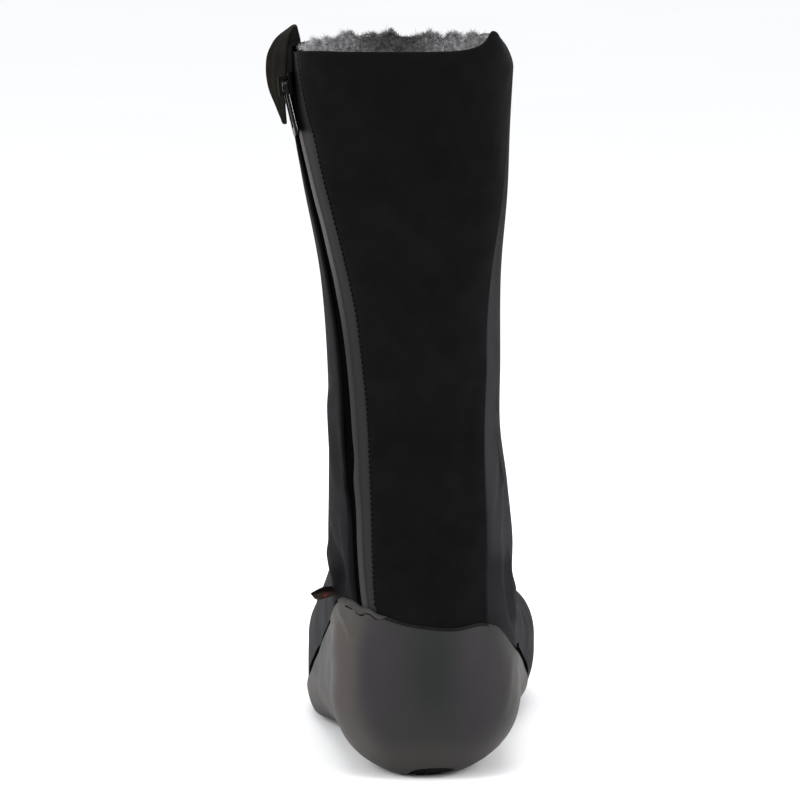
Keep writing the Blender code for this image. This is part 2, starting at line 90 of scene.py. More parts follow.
# Upper's mesh: bands of levels, columns of the side and of the rear panel, and the tucked edge at the sole
FEATHER = 4.5
UPPER_BANDS = ((FEATHER, 60.0, 44), (60.0, 150.0, 80), (150.0, 286.0, 62))
SIDE_COUNT, REAR_COUNT = 238, 104
FOOT_TUCK = ((0.2, 1.4), (0.05, 0.4))
RIM_START, RIM_ROWS, RIM_STEPS, RIM_RADIUS, RIM_HEM = 286.0, 16, 8, 1.1, 301.0

# Collar: how far the rim rises and how far it leans inward, by turn, and where both begin
COLLAR_SHAPE = np.array([
    (-0.500, -2.2, 0.0), (-0.400, -1.8, 2.0), (-0.350, -0.6, 5.0), (-0.315, 1.6, 6.0), (-0.285, 2.0, 5.5),
    (-0.200, 1.2, 4.5), (-0.140, 3.0, 2.5), (-0.118, 6.6, 1.8), (-0.108, 6.6, 1.4), (-0.097, 4.0, 1.1),
    (-0.085, 1.8, 0.8), (-0.070, 0.4, 0.5), (-0.053, -0.4, 0.2), (-0.030, -0.8, 0.0), (0.000, -0.85, 0.0),
    (0.050, -0.95, 0.0), (0.075, -1.0, 0.0), (0.107, -1.4, 0.0), (0.126, -1.7, 0.0), (0.155, -1.5, 0.0),
    (0.186, -1.3, 0.0), (0.220, -1.2, 0.0), (0.260, -1.6, 0.0), (0.300, -1.8, 0.0), (0.400, -2.0, 0.0),
    (0.500, -2.2, 0.0),
])
RISE_START, RISE_REACH = 280.0, 24.0
LEAN_START, LEAN_REACH, LEAN_LIMIT, LEAN_POWER = 294.0, 10.0, 1.2, 1.5

# Zip, by height: turn of its line, and how far from it the rear panel's edge and the front flap's lip lie
ZIP_LINE = np.array([
    (60, 0.066), (100, 0.0804), (130, 0.0886), (160, 0.0918), (185, 0.1005), (210, 0.1165),
    (235, 0.1275), (255, 0.1385), (268, 0.1475), (280, 0.1605), (304, 0.1860),
])
REAR_EDGE = np.array([
    (60, -7.6), (75, -8.2), (90, -8.8), (116, -9.2), (137, -9.8), (158, -9.5), (179, -9.6),
    (200, -10.7), (218, -11.1), (232, -11.4), (242, -11.8), (252, -12.1), (268, -13.8), (304, -14.0),
])
FRONT_LIP = np.array([
    (60, 1.5), (100, 1.6), (108, 1.8), (115, 2.4), (122, 3.9), (135, 4.2),
    (170, 3.8), (205, 3.2), (250, 3.2), (266, 3.8), (277, 5.4), (304, 5.6),
])
SLIT_CLOSED, SLIT_OPEN = 58.0, 67.0

# Profiles of the cloth beside the slit's two edges, as distance from the edge and stand-off
LIP_PROFILE = np.array([
    (0.0, -0.45), (0.05, -0.20), (0.22, 0.12), (0.55, 0.36), (1.1, 0.48), (1.8, 0.42),
    (2.4, 0.20), (2.75, -0.10), (3.0, -0.20), (3.3, -0.06), (4.0, 0.10), (5.4, 0.04),
])
REAR_PROFILE = np.array([
    (-2.4, 0.0), (-1.0, 0.0), (-0.6, -0.22), (-0.25, -0.05), (-0.08, -0.45), (0.0, -1.3),
])
LIP_WIDTH = 2.9

# Medial seam: its turn by height, and the profile across it, where the rear panel stands over the side panel
SEAM_LINE = np.array([
    (40, -0.066), (65, -0.070), (94, -0.0805), (117, -0.093), (142, -0.1075), (165, -0.1105),
    (186, -0.1110), (200, -0.1170), (215, -0.1255), (240, -0.1410), (257, -0.1515), (304, -0.1820),
])
SEAM_PROFILE = np.array([
    *((across, 0.0) for across in range(-17, -8)),
    (-8.0, -0.03), (-7.0, -0.11), (-6.0, -0.22), (-5.0, -0.36), (-4.0, -0.50), (-3.2, -0.61),
    (-2.4, -0.72), (-1.7, -0.82), (-1.1, -0.92), (-0.7, -1.05), (-0.4, -1.12), (-0.15, -1.00),
    (0.0, -0.60), (0.15, -0.20), (0.35, 0.06), (0.7, 0.12), (1.3, 0.06), (2.2, 0.0),
])

# Folds in the cloth and in the cover: width, height (below nought a trough) and points as height and turn
FOLDS = (
    (5.0, -1.1, ((172, -0.089), (153, -0.0715), (128, -0.053), (112, -0.040))),
    (3.0, 0.8, (
        (150, -0.160), (140, -0.149), (132, -0.141), (123, -0.121), (112, -0.107), (104, -0.099),
        (86, -0.088),
    )),
    (1.9, -0.8, (
        (150, -0.163), (141, -0.160), (132, -0.158), (124, -0.152), (117, -0.132), (108, -0.115),
        (98, -0.103), (82, -0.095),
    )),
    (2.0, 0.8, (
        (130, -0.172), (123, -0.162), (118, -0.142), (106, -0.120), (100, -0.112), (90, -0.107), (74, -0.106),
    )),
    (2.8, -1.0, (
        (98, -0.135), (90, -0.128), (84, -0.123), (76, -0.1195), (69, -0.1185), (62, -0.1225), (52, -0.132),
    )),
    (2.2, 1.0, ((96, -0.143), (85, -0.1395), (79, -0.1385), (72, -0.1347), (64, -0.137), (52, -0.150))),
    (5.0, 1.6, ((84, -0.150), (74, -0.152), (62, -0.165), (48, -0.200), (38, -0.230))),
    (3.2, -1.4, ((104, 0.172), (97, 0.150), (91, 0.117), (85, 0.104), (77, 0.094))),
    (4.0, 1.1, ((94, 0.178), (88, 0.152), (82, 0.128), (76, 0.112))),
    (2.4, 0.9, (
        (113, 0.118), (104.8, 0.1102), (99.2, 0.1035), (93.2, 0.097), (87.6, 0.0915), (80, 0.085),
        (72, 0.080),
    )),
    (5.0, -1.0, ((150, 0.150), (132, 0.128), (118, 0.112))),
    (6.0, 1.0, ((162, 0.190), (140, 0.160), (122, 0.136))),
    (7.0, -2.0, ((118, 0.330), (106, 0.400), (102, 0.470), (103, 0.540), (110, 0.610), (120, 0.680))),
    (6.0, 1.6, ((106, 0.340), (95, 0.410), (91, 0.470), (92, 0.540), (98, 0.600), (108, 0.660))),
    (6.5, -1.7, ((92, 0.320), (84, 0.390), (81, 0.460), (81, 0.540), (86, 0.610), (94, 0.680))),
    (7.0, 1.4, ((134, 0.350), (122, 0.420), (119, 0.480), (120, 0.560), (128, 0.640))),
    (9.0, -1.1, ((46, 0.270), (52, 0.320), (58, 0.380))),
    (9.0, -1.1, ((42, 0.740), (50, 0.690), (57, 0.620))),
    (8.0, 0.9, ((36, 0.300), (43, 0.350), (50, 0.400))),
)
COVER_FOLDS = (
    (2.2, 0.7, ((70, 0.112), (66, 0.0935), (61.6, 0.0843), (57, 0.0780))),
    (6.0, 0.5, ((67, 0.112), (59, 0.107), (51, 0.1155), (42, 0.145), (34, 0.175))),
    (9.0, 1.0, ((64, 0.098), (52, 0.100), (40, 0.100), (28, 0.098), (16, 0.094))),
    (5.0, -0.3, ((62, 0.092), (54, 0.086), (44, 0.080), (34, 0.074))),
    (5.0, 0.4, ((40, 0.205), (37, 0.180), (35, 0.140), (32, 0.102), (26, 0.090))),
    (3.5, 0.5, ((52, -0.1000), (44, -0.0940), (34, -0.0860), (22, -0.0740))),
    (5.0, -0.4, ((57, -0.0720), (44, -0.0720), (32, -0.0660))),
    (5.0, 0.4, ((46, -0.1500), (36, -0.1450), (24, -0.1300))),
)
FOLD_POINTS, FOLD_REACH, FOLD_FADE = 100, 3.0, 0.25

# Lining: its rows and columns, how deep it lies under the cloth, and where its top edge begins
LINING_BEND, LINING_FOOT, LINING_COLUMNS = 258.0, 6.0, 400
LINING_DEPTH, LINING_TOP, LINING_TOP_REACH = 2.3, 290.0, 14.0
PILE_FRONT, PILE_ROUND, PILE_REACH = 26000, 6000, 40.0
RIM_FIBRES = 5000
FIBRE_WIDTHS = ((0.0, 0.10), (0.5, 0.08), (1.0, 0.03))

# Sole, its turned-up edge and the cleat opening with its hem
SOLE_THICKNESS, SOLE_EDGE, SOLE_STATIONS, SOLE_SPANS = 2.0, 4.2, 170, 22
CLEAT_X, CLEAT_Y = -4.0, 153.0
CLEAT_WIDTH, CLEAT_LENGTH, CLEAT_CORNER, CLEAT_CUT = 44.0, 62.0, 16.0, 15.0
HEM_INSET, HEM_HALF, HEM_RISE, HEM_MIDDLE = 0.3, 1.9, 1.45, 1.52

# Heel cover, by turn: heights of its upper and lower edges
COVER_EDGE = np.array([
    (-0.310, 7.5), (-0.272, 20.0), (-0.240, 29.5), (-0.160, 44.5), (-0.1065, 53.5), (-0.0915, 60.5),
    (-0.067, 64.6), (-0.024, 63.8), (0.012, 65.8), (0.050, 70.1), (0.075, 73.0), (0.100, 73.8),
    (0.115, 70.6), (0.130, 65.5), (0.178, 55.0), (0.197, 49.0), (0.220, 36.5), (0.246, 27.0),
    (0.286, 15.5), (0.306, 8.0),
])
COVER_FOOT = np.array([
    (-0.310, 4.8), (-0.250, 2.5), (-0.080, 1.5), (-0.050, 2.2), (-0.035, 4.6), (-0.020, 5.4), (0.000, 5.4),
    (0.012, 4.6), (0.030, 1.6), (0.060, 1.2), (0.220, 1.2), (0.270, 2.5), (0.310, 4.8),
])
COVER_END, END_RATE, COVER_COLUMNS, COVER_ROWS = 0.3035, 400.0, 330, 84
COVER_GAP, COVER_THICKNESS, COVER_ROUNDING, FLOOR_GAP = 0.3, 0.7, 0.8, 0.05

# Crumpled hem of the cover beside the zip: its width by turn, and the stretches of painted shadow under its
# lower edge
HEM_WIDTH = np.array([
    (0.1090, 0.0), (0.1000, 2.3), (0.0870, 2.9), (0.0795, 3.5), (0.0680, 3.7),
    (0.0577, 2.6), (0.0500, 2.1), (0.0443, 2.3), (0.0370, 1.2), (0.0330, 0.0),
])
HEM_SHADOW_LINES = ((0.0890, 0.0860), (0.0860, 0.0780), (0.0725, 0.0600), (0.0590, 0.0445))

# Binding along the cover's two sides, partly a real dark seam and partly a dark sheet for the shade in the
# gap under the cover's edge: its ends, and its width near the heel and further forward
BINDING_SHADES = (("binding_shade_lateral", 0.114, 0.300), ("binding_shade_medial", -0.300, -0.084))
BINDING_SHADE_START, BINDING_SHADE_END, BINDING_SHADE_LAP = 0.084, 0.300, 0.4
BINDING_SHADE_LEAST, BINDING_SHADE_WIDTH, BINDING_SHADE_EXTRA = 0.3, 2.2, 3.0

# Zip tapes: profile from the rear panel's edge, then from the zip's line with the share of the pale lip
ZIP_FOOT, TAPE_ROWS, TAPE_THICKNESS = 62.0, 300, 0.55
TAPE_EDGE = np.array([(-0.9, -1.3, 0.0), (0.6, -0.55, 0.0), (1.6, -0.46, 0.0), (2.6, -0.42, 0.0)])
TAPE_LIP = np.array([
    (-4.2, -0.44, 0.0), (-3.95, -0.62, 0.0), (-3.7, -0.30, 1.0), (-3.1, -0.06, 1.0), (-2.3, 0.04, 1.0),
    (-1.5, 0.0, 1.0), (-0.95, -0.16, 0.9), (-0.65, -0.45, 0.3), (-0.6, -0.66, 0.0),
])
TAPE_FRONT = np.array([
    (0.55, -0.90, 0.0), (0.62, -0.72, 0.0), (0.95, -0.66, 0.0), (1.6, -0.66, 0.0), (2.6, -0.68, 0.0),
    (4.0, -0.68, 0.0), (6.0, -0.70, 0.0), (7.6, -0.75, 0.0), (8.4, -1.0, 0.0),
])
TAPE_BRIGHT = np.array([
    (62, 0.38), (100, 0.34), (120, 0.26), (180, 0.22), (200, 0.42), (236, 1.0), (304, 1.0),
])
# Height where the rear tape's painted shade under the guard and pull begins, and how fast it fades in
TAPE_SHADE_START, TAPE_SHADE_FADE = 268.0, 3.0

# Slider and pull tab: outward direction of the slider, how far out its crown begins, in metres, rounded
# edges, and the painted highlight line along the tab's edge
SLIDER_OUT = (-0.985, -0.160, -0.056)
CROWN_START, CROWN_END = 0.0412, 0.0418
METAL_EDGE = 0.25
TAB_EDGE_INSET, TAB_EDGE_RADIUS, TAB_EDGE_POINTS = 0.05, 0.15, 60

# Stitches: pitch, length, radius and rise of the row beside the zip, and of the zigzag on the cover's edge
STITCH_PITCH, STITCH_LENGTH, STITCH_RADIUS, STITCH_RISE = 2.2, 1.7, 0.30, 0.16
STITCH_DEPTH, STITCH_INSET = -0.40, 0.5
ZIGZAG_START, ZIGZAG_END, ZIGZAG_PITCH, ZIGZAG_LENGTH = 0.040, -0.070, 0.75, 0.72
ZIGZAG_DROP, ZIGZAG_RADIUS = 1.1, 0.22

# Guard, from its sewn end inside over the fold to its tip: height, then stand-off and place of both edges
GUARD_FOLDS = np.array([
    (294.0, -3.5, -3.5, 5.2, 17.5),
    (304.0, -3.5, -3.5, 5.2, 17.5),
    (309.2, -2.7, -2.5, 5.2, 17.5),
    (311.8, -1.9, -1.4, 5.2, 17.5),
    (310.0, -0.3, 1.8, 5.2, 17.5),
    (306.0, 1.0, 6.8, 5.2, 17.8),
    (300.0, 1.7, 10.2, 5.2, 18.0),
    (293.0, 2.1, 10.8, 5.2, 17.5),
    (286.0, 2.6, 9.6, 5.2, 16.0),
    (279.0, 2.8, 6.6, 5.6, 13.8),
    (272.0, 3.0, 3.9, 7.0, 11.0),
])
GUARD_ROWS, GUARD_COLUMNS, GUARD_HALF, SIDE_HALF = 111, 25, 0.34, 0.18

# Side tag, by share of its reach: half its width, and how far its middle lies above its root
TAG_TURN, TAG_HEIGHT, TAG_REACH, TAG_HALF = 0.125, 74.6, 10.6, 0.32
TAG_SHAPE = np.array([
    (0.00, 0.35, 0.0), (0.12, 1.90, 0.7), (0.30, 2.35, 0.6), (0.50, 2.60, 0.4),
    (0.65, 2.50, 0.0), (0.85, 1.70, -0.2), (1.00, 0.25, 0.4),
])

# Stage: floor's half-width, the camera's distance in metres and elevation, and its shift in pixels of 800
FLOOR_HALF = 15000.0
CAMERA_DISTANCE, CAMERA_ELEVATION, CAMERA_TARGET = 2.8, 7.0, (0.0, 0.0, 0.15)
SHIFT_X, SHIFT_Y, FRAME_PIXELS = -25.0, 13.0, 800.0


# Curves and the surface of the upper

def ease(share):
    share = np.clip(share, 0.0, 1.0)
    return share * share * (3.0 - 2.0 * share)


def bell(distance, width):
    return np.exp(-((distance / width) ** 2))


def hermite(t, start, end, start_slope, end_slope):
    """Cubic from start to end with the slopes given over the whole span."""
    near = (1 + 2 * t) * (1 - t) ** 2 * start + t * (1 - t) ** 2 * start_slope
    return near + t * t * (3 - 2 * t) * end + t * t * (t - 1) * end_slope


def smooth(x, knots, values):
    """Cubic through the values at the knots, level at the first knot and held past both ends."""
    slopes = np.gradient(values, knots)
    slopes[0] = 0.0
    x = np.clip(x, knots[0], knots[-1])
    i = np.clip(np.searchsorted(knots, x) - 1, 0, len(knots) - 2)
    span = knots[i + 1] - knots[i]
    return hermite((x - knots[i]) / span, values[i], values[i + 1], span * slopes[i], span * slopes[i + 1])


def lookup(x, table, column=1):
    """Smooth value of a table's column, where x runs along its first column."""
    return smooth(x, table[:, 0], table[:, column])


def close_off(share, power):
    """Half-width of a rounded end, from 0 at its tip to 1 where the full width begins."""
    return (1.0 - (1.0 - np.clip(share, 0.0, 1.0)) ** power) ** (1.0 / power)


def rounding(height, reach):
    """Quarter ellipse from 0 at no height to 1 at the reach."""
    return np.sqrt(1.0 - (1.0 - np.clip(height / reach, 0.0, 1.0)) ** 2)


def wrap(turn):
    return (turn + 0.5) % 1.0 - 0.5


def unit(vectors):
    return vectors / np.maximum(np.linalg.norm(vectors, axis=-1, keepdims=True), 1e-9)


def surface(turn, height):
    """Point on the upper's smooth outer surface."""
    turn, height = np.broadcast_arrays(np.asarray(turn, float), np.asarray(height, float))
    turn = wrap(turn)
    lateral = turn >= 0.0
    row = {name: lookup(height, SECTIONS, k) for k, name in enumerate(SECTION_COLUMNS)}
    drawn_in = 1.0 - rounding(height, TUCK_HEIGHT)
    back = row["back"] + HEEL_TUCK * drawn_in
    front = row["front"] - TOE_TUCK * drawn_in
    along = back + (front - back) * (1.0 - np.cos(2.0 * np.pi * turn)) / 2.0

    heel_width = np.where(lateral, row["heel_lateral"], row["heel_medial"])
    ball_width = np.where(lateral, row["ball_lateral"], row["ball_medial"])
    to_ball = (along - row["heel"]) / np.maximum(row["ball"] - row["heel"], 1.0)
    waist = np.where(lateral, WAIST_LATERAL, WAIST_MEDIAL) * np.sin(np.pi * np.clip(to_ball, 0.0, 1.0)) ** 2
    flare = np.where(lateral, LATERAL_FLARE, MEDIAL_FLARE)
    widening = ease(to_ball) + flare * (np.clip(to_ball, 0.0, 1.0) - ease(to_ball))
    width = heel_width + (ball_width - heel_width) * widening
    width = width - waist * (1.0 - ease((height - WAIST_FADE_START) / WAIST_FADE))
    width = width * close_off((along - back) / (row["heel"] - back), row["back_power"])
    width = width * close_off((front - along) / (front - row["ball"]), row["front_power"])

    fore = ease((along - FOREFOOT_START) / (FOREFOOT_END - FOREFOOT_START))
    flat = HEEL_FLAT + (np.where(lateral, LATERAL_FLAT, MEDIAL_FLAT) - HEEL_FLAT) * fore
    reach = HEEL_ROUNDING + (np.where(lateral, LATERAL_ROUNDING, MEDIAL_ROUNDING) - HEEL_ROUNDING) * fore
    width = width * (flat + (1.0 - flat) * rounding(height, reach))

    swing = TOE_SWING * ease((along - SWING_START) / (LENGTH - SWING_START))
    swing = swing * (1.0 - ease((height - WAIST_FADE_START) / SWING_FADE))
    spring = TOE_SPRING * np.clip((along - SPRING_START) / (LENGTH - SPRING_START), 0.0, 1.0) ** 2
    instep = np.clip((along - INSTEP_START) / (INSTEP_END - INSTEP_START), 0.0, 1.0)
    arch = INSTEP_RISE * np.sin(np.pi * instep) ** 2
    x = row["centre"] + swing - np.where(lateral, width, -width)
    z = height + (spring + arch) * (1.0 - ease(height / LIFT_FADE))
    return np.stack([x, along - HEEL_CENTRE, z], axis=-1)


def around(turn, height):
    """Step on the surface from just before a turn to just past it."""
    return surface(turn + TURN_STEP, height) - surface(turn - TURN_STEP, height)


def outward(turn, height):
    """Unit normal of the outer surface."""
    upward = surface(turn, height + HEIGHT_STEP) - surface(turn, height - HEIGHT_STEP)
    return unit(np.cross(upward, around(turn, height)))


def lifted(turn, height, distance):
    """Point at a distance outside the upper's surface."""
    turn, height, distance = np.broadcast_arrays(turn, height, distance)
    return surface(turn, height) + outward(turn, height) * distance[..., None]


def beside(line, height, across):
    """Turn of the point that lies a distance across from a line, towards greater turn if positive."""
    turn = lookup(height, line)
    for _ in range(ACROSS_STEPS):
        speed = np.linalg.norm(around(turn, height), axis=-1) / (2.0 * TURN_STEP)
        turn = turn + across / ACROSS_STEPS / speed
    return turn


def collar(turn, height, distance):
    """Point on the cloth, with the collar's rise and lean added near the rim."""
    turn, height, distance = np.broadcast_arrays(turn, height, distance)
    rise = lookup(wrap(turn), COLLAR_SHAPE, 1)
    lean = lookup(wrap(turn), COLLAR_SHAPE, 2)
    raised = height + rise * ease((height - RISE_START) / RISE_REACH)
    drawn = lean * np.clip((height - LEAN_START) / LEAN_REACH, 0.0, LEAN_LIMIT) ** LEAN_POWER
    return lifted(turn, raised, distance - drawn)


def noise(points, size, seed):
    """Smooth random field from -1 to 1, with lumps of a size in millimetres."""
    count = 24
    lattice = np.random.RandomState(seed).uniform(-1.0, 1.0, (count, count, count))
    place = points / size
    cell = np.floor(place).astype(int)
    share = ease(place - cell)
    total = 0.0
    for corner in itertools.product((0, 1), repeat=3):
        weight = np.prod(np.where(corner, share, 1.0 - share), axis=-1)
        index = (cell + corner) % count
        total = total + weight * lattice[index[..., 0], index[..., 1], index[..., 2]]
    return total


def path_of(points, count):
    """Smooth path of heights and turns through points."""
    points = np.array(points, float)
    steps = np.linspace(0.0, len(points) - 1.0, count)
    slopes = np.gradient(points, axis=0)
    i = np.minimum(steps.astype(int), len(points) - 2)
    return hermite((steps - i)[:, None], points[i], points[i + 1], slopes[i], slopes[i + 1])


def relief(turn, height, folds):
    """Height of the folds above the smooth surface."""
    place = surface(turn, height)
    points = place.reshape(-1, 3).astype(np.float32)
    total = np.zeros(len(points))
    for width, depth, line in folds:
        path = path_of(line, FOLD_POINTS)
        marks = surface(path[:, 1], path[:, 0]).astype(np.float32)
        low, high = marks.min(axis=0) - FOLD_REACH * width, marks.max(axis=0) + FOLD_REACH * width
        near = np.flatnonzero(np.all((points > low) & (points < high), axis=1))
        gaps = np.linalg.norm(points[near, None, :] - marks[None, :, :], axis=2)
        share = gaps.argmin(axis=1) / (len(marks) - 1.0)
        fade = ease(share / FOLD_FADE) * ease((1.0 - share) / FOLD_FADE)
        total[near] += depth * fade * bell(gaps.min(axis=1), width)
    return total.reshape(place.shape[:-1])


def cloth_lift(turn, height):
    """How far the cloth stands off in its folds and in its slack, of which there is more at the ankle."""
    place = surface(turn, height)
    slack = 0.35 * noise(place, 34.0, 3) + 0.5 * noise(place, 22.0, 4) * ease((90.0 - height) / 40.0)
    return relief(turn, height, FOLDS) + slack


def run_of(points):
    """Distance gone along a path at each of its points."""
    return np.concatenate([[0.0], np.cumsum(np.linalg.norm(np.diff(points, axis=0), axis=1))])


def rounded_outline(centre, width, length, corner, steps):
    """Points of a rounded rectangle, anticlockwise."""
    points = []
    for quarter, (sx, sy) in enumerate(((1, 1), (-1, 1), (-1, -1), (1, -1))):
        for step in range(steps + 1):
            angle = math.pi / 2.0 * (quarter + step / steps)
            x = centre[0] + sx * (width / 2.0 - corner) + corner * math.cos(angle)
            y = centre[1] + sy * (length / 2.0 - corner) + corner * math.sin(angle)
            points.append((x, y))
    return np.array(points)


# Blender objects

def mesh_object(name, points, faces):
    """Smooth mesh from points and a list of faces."""
    data = bpy.data.meshes.new(name)
    data.from_pydata((np.asarray(points) * MM).tolist(), [], faces)
    data.shade_smooth()
    obj = bpy.data.objects.new(name, data)
    bpy.context.scene.collection.objects.link(obj)
    return obj


def quads_of(rows, columns, ring=False, start=0, flip=False):
    """Corners of the quads of a grid, where a ring joins its last column to its first."""
    i, j = np.meshgrid(np.arange(rows - 1), np.arange(columns if ring else columns - 1), indexing="ij")
    k = (j + 1) % columns
    low, high = i * columns, (i + 1) * columns
    quads = np.stack([low + j, high + j, high + k, low + k], axis=-1).reshape(-1, 4) + start
    return quads[:, ::-1] if flip else quads


def grid_object(name, points, ring=False, flip=False):
    """Open sheet through rows of points."""
    rows, columns = points.shape[:2]
    return mesh_object(name, points.reshape(-1, 3), quads_of(rows, columns, ring, 0, flip).tolist())


def shell_object(name, outer, inner):
    """Closed piece between two grids of points."""
    rows, columns = outer.shape[:2]
    count = rows * columns
    faces = [quads_of(rows, columns), quads_of(rows, columns, start=count, flip=True)]
    index = np.arange(count).reshape(rows, columns)
    for edge, turned in ((index[:, 0], False), (index[:, -1], True), (index[0], True), (index[-1], False)):
        side = np.stack([edge[:-1], edge[:-1] + count, edge[1:] + count, edge[1:]], axis=-1)
        faces.append(side[:, ::-1] if turned else side)
    points = np.concatenate([outer.reshape(-1, 3), inner.reshape(-1, 3)])
    return mesh_object(name, points, np.concatenate(faces).tolist())


def sheet_object(name, middle, half):
    """Closed piece that reaches half its thickness to both sides of a grid of points."""
    normals = unit(np.cross(np.gradient(middle, axis=0), np.gradient(middle, axis=1)))
    reach = normals * np.asarray(half)[..., None]
    return shell_object(name, middle + reach, middle - reach)


def mark(obj, name, values):
    """Number stored on each point, for the material."""
    layer = obj.data.attributes.new(name, "FLOAT", "POINT")
    layer.data.foreach_set("value", np.ascontiguousarray(values, np.float32).ravel())


def mark_both(obj, name, values):
    """Number stored on both faces of a closed piece."""
    mark(obj, name, np.concatenate([values.ravel(), values.ravel()]))


def tubes(name, paths, radius, sides=5):
    """Joined tubes along paths of equal length, drawn in at both ends."""
    paths = np.asarray(paths, float)
    count, steps = paths.shape[:2]
    along = unit(np.gradient(paths, axis=1))
    lead = np.where(np.abs(along[..., 2:3]) > 0.9, (1.0, 0.0, 0.0), (0.0, 0.0, 1.0))
    side = unit(np.cross(along, lead))
    over = np.cross(along, side)
    share = np.linspace(-1.0, 1.0, steps)
    thick = radius * np.sqrt(np.clip(1.0 - 0.8 * share ** 6, 0.05, 1.0))
    angles = np.linspace(0.0, 2.0 * np.pi, sides, endpoint=False)
    ring = side[:, :, None, :] * np.cos(angles)[:, None] + over[:, :, None, :] * np.sin(angles)[:, None]
    points = paths[:, :, None, :] + ring * thick[None, :, None, None]
    faces, caps = [], []
    for first in range(0, count * steps * sides, steps * sides):
        last = first + (steps - 1) * sides
        faces += quads_of(steps, sides, ring=True, start=first).tolist()
        caps.append([first + k for k in range(sides)])
        caps.append([last + k for k in reversed(range(sides))])
    return mesh_object(name, points.reshape(-1, 3), faces + caps)


# Materials

class Finish:
    """Procedural material: a shader with a few chained textures."""

    # Places of the colour sockets on a mix node, and the wave texture's period at scale 1, in metres
    MIX_A, MIX_B, MIX_RESULT = 6, 7, 2
    WAVE_PERIOD = math.pi / 10.0

    def __init__(self, name, colour, roughness, specular=0.5, metallic=0.0):
        self.material = bpy.data.materials.new(name)
        self.material.use_nodes = True
        self.tree = self.material.node_tree
        self.shader = self.tree.nodes["Principled BSDF"]
        self.place = self.add("TexCoord", {}, "Object")
        self.colour = (*colour, 1.0)
        self.bumped = None
        self.set("Base Color", self.colour)
        self.set("Roughness", roughness)
        self.set("Specular IOR Level", specular)
        self.set("Metallic", metallic)

    def fill(self, socket, value):
        """Link a socket to another node's output, or give it a value."""
        if isinstance(value, bpy.types.NodeSocket):
            self.tree.links.new(value, socket)
        else:
            socket.default_value = value

    def set(self, socket, value):
        self.fill(self.shader.inputs[socket], value)

    def add(self, kind, sockets, output, **settings):
        """Output of a new node with its sockets filled."""
        node = self.tree.nodes.new("ShaderNode" + kind)
        for name, value in settings.items():
            setattr(node, name, value)
        for socket, value in sockets.items():
            self.fill(node.inputs[socket], value)
        return node.outputs[output]

    def noise(self, size, detail=3.0, stretch=(1.0, 1.0, 1.0)):
        """Noise from 0 to 1 with lumps of a size in millimetres."""
        place = self.add("Mapping", {"Vector": self.place, "Scale": stretch}, "Vector")
        return self.add("TexNoise", {"Vector": place, "Scale": 1.0 / (size * MM), "Detail": detail}, "Fac")

    def cells(self, size, randomness=1.0):
        """Distance from the middle of cells of a size in millimetres."""
        sockets = {"Vector": self.place, "Scale": 1.0 / (size * MM), "Randomness": randomness}
        return self.add("TexVoronoi", sockets, "Distance")

    def ribs(self, pitch):
        """Level ribs of a pitch in millimetres."""
        sockets = {"Vector": self.place, "Scale": self.WAVE_PERIOD / (pitch * MM), "Detail": 1.0}
        return self.add("TexWave", sockets, "Fac", bands_direction="Z")

    def along(self, direction):
        """Distance of the point along a direction, in metres."""
        return self.add("VectorMath", {0: self.place, 1: direction}, "Value", operation="DOT_PRODUCT")

    def span(self, source, low, high, start=0.0, end=1.0):
        """Source taken from low..high to start..end."""
        sockets = {"Value": source, "From Min": low, "From Max": high, "To Min": start, "To Max": end}
        return self.add("MapRange", sockets, "Result", interpolation_type="SMOOTHSTEP")

    def stored(self, name, start=0.0, end=1.0):
        """Number stored on the points, taken from 0..1 to start..end."""
        return self.span(self.add("Attribute", {}, "Fac", attribute_name=name), 0.0, 1.0, start, end)

    def times(self, first, second):
        return self.add("Math", {0: first, 1: second}, "Value", operation="MULTIPLY")

    def tint(self, share, colour):
        """Colour mixed in by a share."""
        sockets = {"Factor": share, self.MIX_A: self.colour, self.MIX_B: (*colour, 1.0)}
        self.colour = self.add("Mix", sockets, self.MIX_RESULT, data_type="RGBA")
        self.set("Base Color", self.colour)

    def mottle(self, size, low, high, colour, detail=3.0):
        """Colour mixed in where noise of a size lies above low to high."""
        self.tint(self.span(self.noise(size, detail), low, high), colour)

    def paint(self, name, colour, most=1.0):
        """Colour mixed in by a number stored on the points."""
        self.tint(self.stored(name, 0.0, most), colour)

    def bump(self, source, depth, strength=1.0):
        """Bump of a depth in millimetres."""
        sockets = {"Height": source, "Distance": depth * MM, "Strength": strength}
        if self.bumped is not None:
            sockets["Normal"] = self.bumped
        self.bumped = self.add("Bump", sockets, "Normal")
        self.set("Normal", self.bumped)

    def rough(self, low, high, *texture):
        """Roughness that varies from low to high by noise."""
        self.set("Roughness", self.span(self.noise(*texture), 0.3, 0.7, low, high))

    def on(self, obj):
        obj.data.materials.append(self.material)


def softshell(name, colour, light, roughness, specular):
    """Matt cloth with a fine grain, faint clouds and sparse specks of lint."""
    finish = Finish(name, colour, roughness, specular)
    finish.mottle(34.0, 0.35, 0.75, light, 2.0)
    near = finish.span(finish.cells(26.0), 0.028, 0.014)
    some = finish.span(finish.noise(26.0 * 2.3, 0.0), 0.50, 0.56)
    finish.tint(finish.times(near, some), (0.16, 0.16, 0.16))
    finish.set("Sheen Weight", 0.002)
    finish.set("Sheen Roughness", 0.45)
    finish.set("Sheen Tint", (0.85, 0.87, 1.0, 1.0))
    finish.rough(roughness - 0.06, roughness + 0.06, 9.0)
    finish.bump(finish.cells(0.55, 0.4), 0.05, 0.6)
    finish.bump(finish.noise(3.5, 4.0), 0.05, 0.5)
    return finish


rear_cloth = softshell("rear_softshell", (0.0016, 0.0016, 0.0018), (0.0026, 0.0026, 0.0030), 0.80, 0.05)

side_cloth = softshell("side_softshell", (0.0092, 0.0092, 0.0104), (0.0113, 0.0113, 0.0128), 0.76, 0.035)
